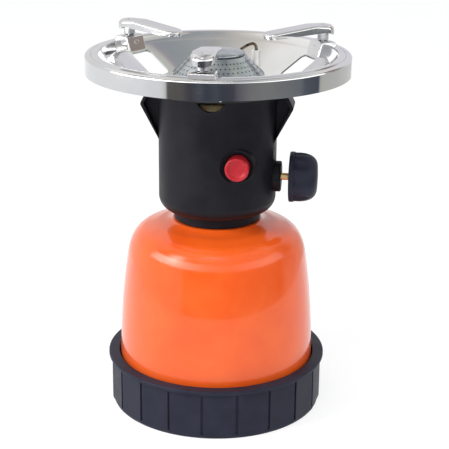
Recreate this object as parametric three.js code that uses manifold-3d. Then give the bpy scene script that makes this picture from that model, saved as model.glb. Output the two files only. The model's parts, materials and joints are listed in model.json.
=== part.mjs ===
// A portable camping gas stove that stands on its own pierceable gas cartridge.
//
// The cartridge stands in a black twist-on base. An orange pressed-steel bell covers it and
// carries the black head, which holds the valve, the igniter and the burner. A polished steel
// dish sits on the head, shields the flame from wind and carries three folding pan supports.
//
// Millimetres. The origin is on the stove's axis, at the underside of the base. +Z is up,
// +X points to the control knob and -Y to the front, where the igniter button is.

import * as THREE from "three";
import { mergeGeometries, mergeVertices } from "three/addons/utils/BufferGeometryUtils.js";
import Module from "manifold-3d";

// Spaces between pieces.
const seat_gap = 0.3; // between pieces that rest on each other
const turning_gap = 0.4; // round a piece that turns or slides
const overrun = 1; // how far a cutting shape runs past what it cuts
const weld = 0.001; // corners closer than this are one corner

// How finely round shapes are divided.
const wide_sides = 32;
const middle_sides = 16;
const small_sides = 8;
const hexagon_sides = 6;
const curve_steps = 3;
const arc_steps = 6;

// Gas cartridge: the 190 gram pierceable kind.
const cartridge_radius = 44.5;
const cartridge_height = 85.6;
const cartridge_wall = 0.6;
const cartridge_side = 62; // height at which the straight side ends
const cartridge_flat_radius = 14;
const cartridge_foot_width = 4;
const cartridge_foot_rise = 2;

// Piercing needle, filter and seal under the valve.
const needle_radius = 1.15;
const needle_bore = 0.5;
const needle_reach = 4.5; // how far it enters the cartridge
const needle_seat = 4; // how far it sits in the valve's stem
const needle_point = 2;
const filter_height = 2;
const seal_radius = 5.2;
const seal_height = 2;

// Bell: the orange pressed-steel cover.
const bell_play = 4.5; // between the cartridge's side and the bell's skirt
const bell_wall = 0.8;
const bell_headroom = 8.6; // from the cartridge's top to the bell's top
const bell_depth = 18.3; // how far the skirt reaches down into the base
const bell_neck_margin = 0.5; // the bell's top is this much wider than the head's collar
// Radius as a share of the skirt's, height as a share of what stands above the base.
const bell_side_shares = [0.99, 0.376, 0.91, 0.747];
const bell_shoulder_shares = [0.876, 0.908, 0.723, 0.943];
const bell_crown_shares = [0.602, 0.967];
const bell_fillet_shares = [0.482, 0.972];

// Bayonet lock between the bell's skirt and the base.
const lug_count = 3;
const lug_width = 6;
const lug_height = 3;
const lug_reach = 1.1; // how far a lug passes through the skirt
const lug_rise = 9.6; // from the base's floor to a lug's underside
const slot_play = 0.6;
const twist_degrees = 40;

// Base: black moulded plastic with a grip of flats and grooves.
const base_skirt_gap = 0.6;
const base_wall = 2.2;
const base_floor = 3.4;
const base_lip_width = 4.3; // from the bore to the grip's face
const base_lip_height = 2.2;
const base_flange_height = 1.9;
const base_flange_overhang = 1.3;
const base_flange_round = 0.7;
const base_grip_height = 24.4;
const base_chamfer = 1.2;
const base_foot_width = 7;
const base_foot_rise = 0.8;
const base_groove_count = 20;
const base_groove_width = 1.2;
const base_groove_depth = 0.8;
const base_sides_per_groove = 2;

// Head: the black moulded housing.
const collar_radius = 21.8;
const collar_height = 4.1;
const head_radius = 29.4;
const head_height = 65;
const head_wall = 2.5;
const head_floor = 2.3;
const head_round_height = 7.4;
// Bend of the rounded foot: how far out, and how far up, its corner lies.
const head_round_shares = [0.93, 0.23];
const air_notch_radius = 7.2;
const air_notch_rise = 2.4; // its centre stands this far above the head's top
const wing_reach = 8.5;
const wing_shoulder_reach = 5.1;
const wing_tip_drop = 6.7;
const wing_root_drop = 22.7;
const wing_thickness = 14;
const wing_border = 1.8;
const wing_pocket_depth = 4;
const wing_root_depth = 1.6; // how far it sinks into the wall

// Valve, inside the head.
const stem_radius = 6;
const stem_flange_radius = 11.5;
const stem_flange_height = 2.5;
const lock_nut_radius = 10;
const lock_nut_height = 3.2;
const column_radius = 7;
const column_top_rise = 8.6; // above the valve's axis
const valve_rise = 22.2; // the valve's axis above the foot of the collar
const barrel_radius = 5;
const spindle_bore = 3.4;
const gas_passage_radius = 0.9;
const inlet_drop = 9; // the inlet's top below the valve's axis
const boss_radius = 7.7;
const boss_reach = 2.7;
const boss_wall = 1.3;
const boss_bore = 5.6;

// Spindle, its seal and its gland nut.
const spindle_radius = 1.8;
const spindle_thread_length = 6;
const spindle_tip_length = 2.6;
const spindle_neck_length = 2.6;
const spindle_collar_length = 1.5;
const o_ring_length = 1.6;
const o_ring_room = 3.45; // from the spindle's collar to the gland nut's spigot
const gland_radius = 4.9;
const gland_head_length = 4.6;
const gland_spigot_length = 3;
const gland_clearance = 1.4; // from the gland nut's head to the boss's end wall

// Control knob.
const knob_gap = 4.2; // from the head's boss to the knob
const knob_radius = 12.6;
const knob_length = 13.8;
const knob_lip_length = 2.5;
const knob_lip_step = 0.4;
const knob_side_length = 5.2;
const knob_nose_radius = 6;
const knob_round_shares = [0.97, 0.95];
const knob_flute_count = 8;
const knob_flute_radius = 5;
const knob_flute_depth = 1.1;
const knob_recess_radius = 4;
const knob_recess_depth = 2.2;
const knob_pocket_radius = 10.4;
const knob_pocket_depth = 6;
const knob_hub_radius = 4.4;
const knob_end_wall = 1.6;
const knob_screw_radius = 1;
const knob_screw_length = 7.5;
const knob_screw_head_radius = 2.6;
const knob_screw_head_height = 1.4;
const knob_screw_slot = 0.7;

// Jet and mixing tube.
const jet_spigot_radius = 2;
const jet_spigot_length = 4;
const jet_head_radius = 3.4;
const jet_head_height = 3.2;
const jet_tip_radius = 2.2;
const jet_tip_height = 2.5;
const jet_hole_radius = 0.3;
const tube_radius = 7;
const tube_wall = 0.8;
const tube_length = 20;
const tube_spigot_height = 3;
const tube_air_hole_radius = 2.4;
const tube_air_hole_rise = 12.6;
const tube_air_hole_count = 4;

// Burner.
const bowl_radius = 21.6;
const bowl_wall = 0.8;
const bowl_side_height = 7;
const bowl_throat_radius = 16.6;
const bowl_throat_height = 1.8;
const bowl_neck_length = 5;
const bowl_lap = 4; // how far the neck slips over the mixing tube
const bowl_flare_shares = [0.2, 0.75];
const cap_skirt_height = 3.4;
const cap_cone_height = 9;
const cap_top_radius = 13.2;
const cap_top_lip = 2.2;
const cap_wall = 0.8;
const cap_row_shares = [0.18, 0.36, 0.56, 0.8];
const cap_holes_per_row = 12; // two flats of the cap for each hole
const cap_hole_radius = 1;
const cap_hole_sides = 4;
const plate_height = 2.9;
const plate_edge_height = 1;
const plate_margin = 0.3; // the plate is this much smaller than the cap's top
const plate_wall = 0.8;

// Dish: polished steel wind shield.
const dish_wall = 0.8;
const dish_hole_gap = 0.6; // round the burner's throat
const dish_hub_radius = 33.5;
const dish_cone_rise = 14;
const dish_rim_rise = 3.9; // rim above the cone's outer edge
const dish_radius = 65.1;
const dish_rim_width = 6.7;
const dish_corner_width = 4.9; // of the bend between the rim and the cone
const dish_band_height = 9.7;
const dish_edge_round = 1.4;
const dish_step_width = 3.6; // the rim's outer stretch, a step lower than the rest
const dish_step_drop = 0.4;
const dish_inner_round_shares = [0.62, 0.25];
const window_width = 14;
const window_length = 14.5;
const window_margin = 0.5; // from the window to the bracket's inner foot
const dish_screw_offset = 30.6;
const dish_screw_radius = 1.2;
const dish_screw_head_radius = 2.6;
const dish_screw_head_height = 1.6;
const dish_screw_length = 10;
const dish_screw_slot = 0.7;

// Pan supports: three folding arms on riveted brackets.
const support_names = ["front", "right", "left"];
const support_angles = [270, 30, 150];
const pivot_inset = 8.1; // from the dish's edge to the arms' pivots
const bracket_width = 13;
const bracket_rise = 2.1; // above the rim
const bracket_foot_in = 6; // inner foot, measured inwards from the pivot
const bracket_plate_in = 3.7;
const bracket_plate_out = 3.8;
const bracket_foot_out = 5.3;
const bracket_sink = 0.6; // how far its feet merge with the dish
const bracket_opening_width = 11;
const bracket_opening_out = 3.3;
const rivet_radius = 1.4;
const rivet_head_radius = 2.4;
const rivet_head_height = 1;
const bushing_radius = 2.8;
const arm_width = 11;
const arm_wall = 1;
const arm_length = 33; // from the pivot to the inner end
const arm_rise = 7.9; // its top above the bracket
const arm_pad_length = 7; // level stretch of its top, inwards from the pivot
const arm_slope_drop = 3;
const arm_end_depth = 5.4; // at its outer tip, which is turned down
const arm_pivot_depth = 3.4;
const arm_inner_depth = 2.6;

// Igniter.
const igniter_side = 13.1; // its axis lies this far to the side of the stove's
const igniter_rise = 11.6; // and this far above the valve's axis
const button_front = 33; // from the stove's axis to the button's face
const button_radius = 5.75;
const button_length = 7.4;
const button_travel = 5;
const button_dish_radius = 4.3;
const button_dish_depth = 1;
const plunger_radius = 2.2;
const plunger_length = 13.6;
const bezel_radius = 8.4;
const bezel_front = 27.2;
const bezel_recess_radius = 7;
const bezel_recess_depth = 1.2;
const socket_back = 8.4;
const socket_wall = 1.5;
const igniter_radius = 5.7;
const igniter_back = 10;
const igniter_bore_end = 5;
const igniter_groove_depth = 0.5;
const clip_radius = 7.4;
const clip_length = 0.9;
const terminal_radius = 1.6;
const terminal_length = 2;
const lead_radius = 1.1;
const lead_step_count = 14;

// Spark electrode.
const electrode_radius_out = 25.3; // from the stove's axis
const electrode_angle = 48.7;
const ceramic_radius = 2.2;
const ceramic_shoulder_radius = 2.9;
const ceramic_foot_rise = 15; // above the igniter's axis
const ceramic_top_rise = 16.8; // above the head's top
const ceramic_bore = 1.05;
const spark_wire_radius = 0.75;
const spark_rise = 3.2; // the wire's highest point above the ceramic
const spark_reach = 10.3; // its end lies this far towards the burner
const electrode_clip_radius = 3.3;
const electrode_clip_height = 0.8;

// Places that follow from the sizes above, from the ground up.
const cartridge_foot = base_floor + seat_gap;
const cartridge_top = cartridge_foot + cartridge_height;
const skirt_inner_radius = cartridge_radius + bell_play;
const skirt_radius = skirt_inner_radius + bell_wall;
const base_bore = skirt_radius + base_skirt_gap;
const grip_radius = base_bore + base_lip_width;
const flange_radius = grip_radius + base_flange_overhang;
const base_top = base_grip_height + base_flange_height;
const bell_top = cartridge_top + bell_headroom;
const head_foot = bell_top + seat_gap;
const head_top = head_foot + head_height;
const head_inner_radius = head_radius - head_wall;
const stem_foot = cartridge_top + seat_gap + seal_height + seat_gap;
const stem_bore = needle_radius + seat_gap;
const valve_axis = head_foot + valve_rise;
const column_top = valve_axis + column_top_rise;
const tube_foot = column_top + seat_gap;
const tube_top = tube_foot + tube_length;
const hub_top = head_top + seat_gap + dish_wall;
const bowl_floor = hub_top + seat_gap;
const bowl_top = bowl_floor + bowl_side_height;
const cap_radius = bowl_radius + seat_gap + cap_wall;
const cap_cone_foot = bowl_top + seat_gap;
const cap_top = cap_cone_foot + cap_cone_height;
const dish_rim_inner_radius = dish_radius - dish_rim_width;
const dish_cone_radius = dish_rim_inner_radius - dish_corner_width;
const dish_step_radius = dish_radius - dish_step_width;
const pivot_radius = dish_radius - pivot_inset;
const dish_cone_top = hub_top + dish_cone_rise;
const rim_top = dish_cone_top + dish_rim_rise;
const bracket_top = rim_top + bracket_rise;
const arm_top = bracket_top + arm_rise;
const boss_front = head_radius + boss_reach;
const knob_back = boss_front + knob_gap;
const knob_front = knob_back + knob_length;
const gland_head_end = boss_front - boss_wall - gland_clearance;
const barrel_length = gland_head_end - gland_head_length - seat_gap;
const spindle_seal = barrel_length - gland_spigot_length - o_ring_room;
const spindle_collar = spindle_seal - spindle_collar_length;
const spindle_neck = spindle_collar - spindle_neck_length;
const spindle_thread = spindle_neck - spindle_thread_length;
const spindle_tip = spindle_thread - spindle_tip_length;
const spindle_bore_start = spindle_tip + spindle_tip_length / 4;
const igniter_axis = valve_axis + igniter_rise;
const socket_bore = button_radius + turning_gap;
const ceramic_foot = igniter_axis + ceramic_foot_rise;
const ceramic_top = head_top + ceramic_top_rise;
const electrode_turn = THREE.MathUtils.degToRad(electrode_angle);
const electrode_x = electrode_radius_out * Math.cos(electrode_turn);
const electrode_y = electrode_radius_out * Math.sin(electrode_turn);
const quarter_turn = Math.PI / 2;
const full_turn = 2 * Math.PI;

// Finishes.
const painted_steel = new THREE.MeshStandardMaterial({ color: 0xf2571d, roughness: 0.3, metalness: 0 });
const black_plastic = new THREE.MeshStandardMaterial({ color: 0x24262b, roughness: 0.5, metalness: 0 });
const red_plastic = new THREE.MeshStandardMaterial({ color: 0xd8283a, roughness: 0.35, metalness: 0 });
const polished_steel = new THREE.MeshStandardMaterial({ color: 0xc9ccd0, roughness: 0.15, metalness: 1 });
const burner_steel = new THREE.MeshStandardMaterial({ color: 0xa9b3bb, roughness: 0.35, metalness: 1 });
const zinc_steel = new THREE.MeshStandardMaterial({ color: 0x9fa3a8, roughness: 0.4, metalness: 1 });
const brass = new THREE.MeshStandardMaterial({ color: 0xb5924c, roughness: 0.35, metalness: 1 });
const rubber = new THREE.MeshStandardMaterial({ color: 0x1a1a1a, roughness: 0.8, metalness: 0 });
const ceramic = new THREE.MeshStandardMaterial({ color: 0xf1efe9, roughness: 0.3, metalness: 0 });
const lead_sleeve = new THREE.MeshStandardMaterial({ color: 0xd9d9d2, roughness: 0.6, metalness: 0 });
const tin_plate = new THREE.MeshStandardMaterial({ color: 0x2f5fa8, roughness: 0.35, metalness: 0.4 });

const wasm = await Module();
wasm.setup();

// A closed surface as a solid that can be joined and cut.
function as_solid(geometry) {
  const bare = geometry.clone();
  bare.deleteAttribute("normal");
  bare.deleteAttribute("uv");
  const merged = mergeVertices(bare, weld);
  const corners = merged.index.array;
  const kept = [];
  for (let i = 0; i < corners.length; i += 3) {
    const [a, b, c] = corners.slice(i, i + 3);
    if (a !== b && b !== c && c !== a) kept.push(a, b, c);
  }
  const vertProperties = merged.attributes.position.array;
  return new wasm.Manifold(
    new wasm.Mesh({ numProp: 3, vertProperties, triVerts: new Uint32Array(kept) }),
  );
}

// A solid back as a surface.
function as_surface(solid) {
  const mesh = solid.getMesh();
  const geometry = new THREE.BufferGeometry();
  geometry.setAttribute("position", new THREE.BufferAttribute(mesh.vertProperties, mesh.numProp));
  geometry.setIndex(new THREE.BufferAttribute(mesh.triVerts, 1));
  return geometry;
}

function join(first, ...others) {
  return as_surface(others.reduce((sum, other) => sum.add(as_solid(other)), as_solid(first)));
}

function cut(first, ...cutters) {
  return as_surface(cutters.reduce((rest, one) => rest.subtract(as_solid(one)), as_solid(first)));
}

function overlap(first, second) {
  return as_surface(as_solid(first).intersect(as_solid(second)));
}

// The points of an outline. A step of two numbers is a straight line to that point. A step of
// four is a bend that leans towards its first two numbers and ends at its last two.
function outline(start, ...steps) {
  const path = new THREE.Path();
  path.moveTo(...start);
  for (const step of steps) {
    if (step.length === 2) path.lineTo(...step);
    else path.quadraticCurveTo(...step);
  }
  return path.getPoints(curve_steps);
}

// The outline's points, moved to the left of its direction of travel.
function moved_left(points, distance) {
  return points.map((point, i) => {
    const before = points[Math.max(i - 1, 0)];
    const after = points[Math.min(i + 1, points.length - 1)];
    const first = (i > 0 ? point.clone().sub(before) : after.clone().sub(point)).normalize();
    const second = (i < points.length - 1 ? after.clone().sub(point) : first.clone()).normalize();
    const left = new THREE.Vector2(-first.y - second.y, first.x + second.x).normalize();
    const lean = left.dot(new THREE.Vector2(-first.y, first.x));
    return point.clone().addScaledVector(left, distance / lean);
  });
}

function turns_left(points) {
  let area = 0;
  points.forEach((point, i) => {
    area += point.cross(points[(i + 1) % points.length]);
  });
  return area > 0;
}

// A solid turned about Z from points of radius and height. The points start and end on the
// axis, or go once round a ring's section.
function turned(points, sides) {
  const section = points.map((point) => (Array.isArray(point) ? new THREE.Vector2(...point) : point));
  if (!turns_left(section)) section.reverse();
  const on_axis = section.some((point) => point.x === 0);
  if (on_axis) {
    while (section[0].x !== 0 || section.at(-1).x !== 0) section.push(section.shift());
  } else {
    section.push(section[0].clone());
  }
  return new THREE.LatheGeometry(section, sides).rotateX(quarter_turn);
}

function rod(radius, from, to, sides) {
  return turned([[0, from], [radius, from], [radius, to], [0, to]], sides);
}

// A cutter for a round hole. Its flats, not its corners, lie on the radius, so a rod of that
// radius still passes.
function hole(radius, from, to, sides) {
  return rod(radius / Math.cos(Math.PI / sides), from, to, sides);
}

function ring(inner, outer, from, to, sides) {
  return cut(rod(outer, from, to, sides), hole(inner, from - overrun, to + overrun, sides));
}

// A six-sided bar with a round bore.
function hexagon(inner, outer, from, to) {
  const bar = rod(outer, from, to, hexagon_sides);
  return cut(bar, hole(inner, from - overrun, to + overrun, small_sides));
}

// A turned sheet of even thickness, laid on the left of the outline.
function turned_sheet(points, wall, sides) {
  return turned([...points, ...moved_left(points, wall).reverse()], sides);
}

function block(x_from, x_to, y_from, y_to, z_from, z_to) {
  return new THREE.BoxGeometry(x_to - x_from, y_to - y_from, z_to - z_from).translate(
    (x_from + x_to) / 2,
    (y_from + y_to) / 2,
    (z_from + z_to) / 2,
  );
}

// A flat shape raised from one height to another.
function raised(shape, from, to) {
  const options = { depth: to - from, bevelEnabled: false, curveSegments: arc_steps };
  return new THREE.ExtrudeGeometry(shape, options).translate(0, 0, from);
}

// A side view drawn as points of x and z, given its thickness along Y.
function side_plate(points, thickness) {
  const shape = new THREE.Shape(points.map((point) => new THREE.Vector2(...point)));
  return raised(shape, -thickness / 2, thickness / 2).rotateX(quarter_turn);
}

function wire(points, radius, steps, sides) {
  const path = new THREE.CatmullRomCurve3(points);
  const section = new THREE.Shape();
  for (let i = 0; i < sides; i += 1) {
    const turn = (i * full_turn) / sides;
    const draw = i === 0 ? "moveTo" : "lineTo";
    section[draw](radius * Math.cos(turn), radius * Math.sin(turn));
  }
  return new THREE.ExtrudeGeometry(section, { steps, extrudePath: path, bevelEnabled: false });
}

// Copies of a shape spread evenly round Z.
function spread(geometry, count, first_turn = 0) {
  const copies = [];
  for (let i = 0; i < count; i += 1) {
    copies.push(geometry.clone().rotateZ(first_turn + (i * full_turn) / count));
  }
  return mergeGeometries(copies);
}

function piece(name, geometry, finish) {
  const surface = as_surface(as_solid(geometry)).toNonIndexed();
  surface.computeVertexNormals();
  const mesh = new THREE.Mesh(surface, finish);
  mesh.name = name;
  return mesh;
}

// Base and bayonet.

function base_shape() {
  const foot_inner = grip_radius - base_chamfer - base_foot_width;
  const inner = grip_radius - base_wall;
  const cup = turned(
    [
      [0, base_foot_rise],
      [foot_inner - base_foot_rise, base_foot_rise],
      [foot_inner, 0],
      [grip_radius - base_chamfer, 0],
      [grip_radius, base_chamfer],
      [grip_radius, base_grip_height],
      [flange_radius, base_grip_height],
      [flange_radius, base_top - base_flange_round],
      [flange_radius - base_flange_round, base_top],
      [base_bore, base_top],
      [base_bore, base_top - base_lip_height],
      [inner, base_top - base_lip_height],
      [inner, base_floor],
      [0, base_floor],
    ],
    base_groove_count * base_sides_per_groove,
  );
  const groove = block(
    grip_radius - base_groove_depth,
    grip_radius + overrun,
    -base_groove_width / 2,
    base_groove_width / 2,
    2 * base_chamfer,
    base_grip_height - base_chamfer,
  );
  const lug = block(
    skirt_inner_radius - lug_reach,
    inner + base_wall / 2,
    -lug_width / 2,
    lug_width / 2,
    base_floor + lug_rise,
    base_floor + lug_rise + lug_height,
  );
  return join(cut(cup, spread(groove, base_groove_count)), spread(lug, lug_count));
}

// The stretch of skirt that one lug can travel in, and its way in from below.
function bayonet_slot(skirt_foot) {
  const play_turn = (lug_width / 2 + slot_play) / skirt_inner_radius;
  const travel = THREE.MathUtils.degToRad(twist_degrees);
  const near = skirt_inner_radius - overrun;
  const far = skirt_radius + overrun;
  const arc = new THREE.Shape();
  arc.absarc(0, 0, far, -travel - play_turn, play_turn, false);
  arc.absarc(0, 0, near, play_turn, -travel - play_turn, true);
  const from = base_floor + lug_rise - slot_play;
  const to = base_floor + lug_rise + lug_height + slot_play;
  const way_in = block(
    near,
    far,
    -lug_width / 2 - slot_play,
    lug_width / 2 + slot_play,
    skirt_foot - overrun,
    (from + to) / 2,
  );
  return join(raised(arc, from, to), way_in.rotateZ(-travel));
}

function bell_shape() {
  const foot = base_top - bell_depth;
  const rise = bell_top - base_top;
  const scaled = (shares) =>
    shares.map((share, i) => (i % 2 === 0 ? share * skirt_radius : base_top + share * rise));
  const outside = outline(
    [skirt_radius, foot],
    [skirt_radius, base_top],
    scaled(bell_side_shares),
    scaled(bell_shoulder_shares),
    scaled(bell_crown_shares),
    [...scaled(bell_fillet_shares), collar_radius + bell_neck_margin, bell_top],
    [stem_radius + seat_gap, bell_top],
  );
  const sheet = turned_sheet(outside, bell_wall, wide_sides);
  return cut(sheet, spread(bayonet_slot(foot), lug_count));
}

function cartridge_shape() {
  const pierced = needle_radius + seat_gap;
  const shoulder = cartridge_height - (cartridge_height - cartridge_side) / 3;
  const outside = outline(
    [0, cartridge_foot_rise],
    [cartridge_radius - cartridge_foot_width, cartridge_foot_rise],
    [cartridge_radius - cartridge_foot_width / 2, 0],
    [cartridge_radius, 0],
    [cartridge_radius, cartridge_side],
    [cartridge_radius, shoulder, cartridge_flat_radius, cartridge_height],
    [pierced, cartridge_height],
  );
  const inside = moved_left(outside, cartridge_wall).reverse();
  inside.at(-1).x = 0;
  return turned([...outside, ...inside], wide_sides);
}

// Valve pieces. The shapes that lie along the valve's axis are drawn along Z and laid over later.

function lock_nut_shape() {
  return hexagon(stem_radius + seat_gap, lock_nut_radius, 0, lock_nut_height);
}

function needle_shape() {
  const length = needle_reach + seat_gap + seal_height + seat_gap + needle_seat;
  return turned(
    [
      [needle_bore, 0],
      [needle_radius, needle_point],
      [needle_radius, length],
      [needle_bore, length],
    ],
    small_sides,
  );
}

function valve_body_shape() {
  const flange_foot = head_foot + head_floor + seat_gap;
  const spigot = tube_radius - tube_wall - seat_gap;
  const outside = turned(
    [
      [0, stem_foot],
      [stem_radius, stem_foot],
      [stem_radius, flange_foot],
      [stem_flange_radius, flange_foot],
      [stem_flange_radius, flange_foot + stem_flange_height],
      [column_radius, flange_foot + stem_flange_height],
      [column_radius, column_top],
      [spigot, column_top],
      [spigot, column_top + tube_spigot_height],
      [0, column_top + tube_spigot_height],
    ],
    middle_sides,
  );
  const barrel = lay_along_x(rod(barrel_radius, 0, barrel_length, middle_sides));
  const inlet_top = valve_axis - inlet_drop;
  const jet_floor = column_top + seat_gap - jet_spigot_length - seat_gap;
  const jet_room = jet_head_radius + turning_gap;
  const sloping_length = Math.hypot(spindle_bore_start + spindle_bore, inlet_drop);
  const slope = Math.atan2(spindle_bore_start + spindle_bore, inlet_drop);
  return cut(
    join(outside, barrel),
    hole(stem_bore, stem_foot - overrun, inlet_top, small_sides),
    rod(gas_passage_radius, 0, sloping_length, small_sides)
      .rotateY(slope)
      .translate(0, 0, inlet_top - gas_passage_radius),
    lay_along_x(rod(gas_passage_radius, 0, barrel_length, small_sides)),
    lay_along_x(hole(spindle_bore, spindle_bore_start, barrel_length + overrun, small_sides)),
    rod(gas_passage_radius, valve_axis, column_top, small_sides),
    hole(jet_spigot_radius + seat_gap, jet_floor, column_top + overrun, small_sides),
    hole(jet_room, column_top, column_top + tube_spigot_height + overrun, small_sides),
  );
}

// Lays a shape that was drawn along Z along the valve's axis.
function lay_along_x(geometry) {
  return geometry.rotateY(quarter_turn).translate(0, 0, valve_axis);
}

function spindle_shape() {
  const end = knob_front - knob_recess_depth - knob_end_wall - seat_gap;
  const wide = spindle_bore - turning_gap;
  const screw_bore = knob_screw_radius + seat_gap;
  const bore_floor = knob_front - knob_recess_depth - knob_screw_length - seat_gap;
  return turned(
    [
      [0, spindle_tip],
      [wide, spindle_thread],
      [wide, spindle_neck],
      [spindle_radius, spindle_neck],
      [spindle_radius, spindle_collar],
      [wide, spindle_collar],
      [wide, spindle_seal],
      [spindle_radius, spindle_seal],
      [spindle_radius, end],
      [screw_bore, end],
      [screw_bore, bore_floor],
      [0, bore_floor],
    ],
    small_sides,
  );
}

function o_ring_shape() {
  const start = spindle_seal + seat_gap;
  const inner = spindle_radius + seat_gap;
  const outer = spindle_bore - seat_gap;
  return turned(
    outline(
      [inner, start + o_ring_length / 2],
      [inner, start, (inner + outer) / 2, start],
      [outer, start, outer, start + o_ring_length / 2],
      [outer, start + o_ring_length, (inner + outer) / 2, start + o_ring_length],
      [inner, start + o_ring_length, inner, start + o_ring_length / 2],
    ).slice(0, -1),
    small_sides,
  );
}

function gland_nut_shape() {
  const bore = spindle_radius + turning_gap;
  const head_start = barrel_length + seat_gap;
  const spigot = ring(
    bore,
    spindle_bore - seat_gap,
    barrel_length - gland_spigot_length,
    head_start + gland_head_length / 2,
    small_sides,
  );
  return join(spigot, hexagon(bore, gland_radius, head_start, head_start + gland_head_length));
}

function knob_shape() {
  const nose = knob_length;
  const side = knob_radius - knob_lip_step;
  const round_corner = [
    side * knob_round_shares[0],
    knob_side_length + (nose - knob_side_length) * knob_round_shares[1],
  ];
  const body = turned(
    outline(
      [0, 0],
      [knob_radius, 0],
      [knob_radius, knob_lip_length],
      [side, knob_lip_length],
      [side, knob_side_length],
      [...round_corner, knob_nose_radius, nose],
      [knob_recess_radius, nose],
      [knob_recess_radius, nose - knob_recess_depth],
      [0, nose - knob_recess_depth],
    ),
    3 * knob_flute_count,
  );
  const flute = rod(knob_flute_radius, knob_lip_length, nose + overrun, small_sides).translate(
    side + knob_flute_radius - knob_flute_depth,
    0,
    0,
  );
  const bore_end = nose - knob_recess_depth - knob_end_wall;
  return cut(
    body,
    spread(flute, knob_flute_count),
    ring(knob_hub_radius, knob_pocket_radius, -overrun, knob_pocket_depth, middle_sides),
    hole(spindle_radius + seat_gap, -overrun, bore_end, small_sides),
    hole(knob_screw_radius + seat_gap, 0, nose, small_sides),
  );
}

function knob_screw_shape() {
  const head = seat_gap + knob_screw_head_height;
  const screw = turned(
    [
      [0, -knob_screw_length],
      [knob_screw_radius, -knob_screw_length],
      [knob_screw_radius, seat_gap],
      [knob_screw_head_radius, seat_gap],
      [knob_screw_head_radius, head],
      [0, head],
    ],
    small_sides,
  );
  return cut(screw, screw_slot(knob_screw_head_radius, head, knob_screw_slot));
}

// The cutter of a screwdriver slot in a head of the given radius and top.
function screw_slot(radius, top, width) {
  return block(-radius - overrun, radius + overrun, -width / 2, width / 2, top - width, top + overrun);
}

// Gas path above the valve.

function jet_shape() {
  const head = jet_spigot_length + jet_head_height;
  const tip = head + jet_tip_height;
  const bored = ring(jet_hole_radius, jet_spigot_radius, 0, jet_spigot_length + overrun, small_sides);
  const grip = hexagon(jet_hole_radius, jet_head_radius, jet_spigot_length, head);
  const nose = turned(
    [
      [jet_hole_radius, head - overrun],
      [jet_tip_radius, head - overrun],
      [jet_tip_radius, head],
      [jet_tip_radius / 2, tip],
      [jet_hole_radius, tip],
    ],
    small_sides,
  );
  const chamber = rod(gas_passage_radius, -overrun, head, small_sides);
  return cut(join(bored, grip, nose), chamber);
}

function mixing_tube_shape() {
  const tube = ring(tube_radius - tube_wall, tube_radius, 0, tube_length, middle_sides);
  const air_hole = rod(tube_air_hole_radius, 0, tube_radius + overrun, small_sides)
    .rotateY(quarter_turn)
    .translate(0, 0, tube_air_hole_rise);
  const first_turn = full_turn / tube_air_hole_count / 2;
  const holes = [];
  for (let i = 0; i < tube_air_hole_count; i += 1) {
    holes.push(air_hole.clone().rotateZ(first_turn + (i * full_turn) / tube_air_hole_count));
  }
  return cut(tube, ...holes);
}

function bowl_shape() {
  const neck = tube_radius + seat_gap + bowl_wall;
  const neck_foot = tube_top - bowl_lap;
  const neck_top = neck_foot + bowl_neck_length;
  const throat_foot = bowl_floor - bowl_throat_height;
  const bend = [
    neck + (bowl_throat_radius - neck) * bowl_flare_shares[0],
    neck_top + (throat_foot - neck_top) * bowl_flare_shares[1],
  ];
  const outside = outline(
    [neck, neck_foot],
    [neck, neck_top],
    [...bend, bowl_throat_radius, throat_foot],
    [bowl_throat_radius, bowl_floor],
    [bowl_radius, bowl_floor],
    [bowl_radius, bowl_top],
  );
  return turned_sheet(outside, bowl_wall, middle_sides);
}

function burner_cap_shape() {
  const outside = outline(
    [cap_radius, cap_cone_foot - cap_skirt_height],
    [cap_radius, cap_cone_foot],
    [cap_top_radius, cap_top],
    [cap_top_radius - cap_top_lip, cap_top],
  );
  const sheet = turned_sheet(outside, cap_wall, 2 * cap_holes_per_row);
  const slope = Math.atan2(cap_radius - cap_top_radius, cap_cone_height);
  const reach = cap_wall + overrun;
  const holes = cap_row_shares.map((share, row) => {
    const radius = cap_radius + (cap_top_radius - cap_radius) * share;
    const flame_hole = rod(cap_hole_radius, -reach, reach, cap_hole_sides)
      .rotateY(quarter_turn - slope)
      .translate(radius, 0, cap_cone_foot + cap_cone_height * share);
    const flat_turn = full_turn / cap_holes_per_row / 2;
    return spread(flame_hole, cap_holes_per_row, (row % 2) * flat_turn + flat_turn / 2);
  });
  return cut(sheet, ...holes);
}

function top_plate_shape() {
  const radius = cap_top_radius - plate_margin;
  const dome = outline(
    [radius, 0],
    [radius, plate_edge_height],
    [radius / 2, plate_height, 0, plate_height],
  );
  const under = moved_left(dome, plate_wall).reverse();
  under[0].x = 0;
  return turned([...dome, ...under], middle_sides);
}

// Dish and what holds it.

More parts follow.
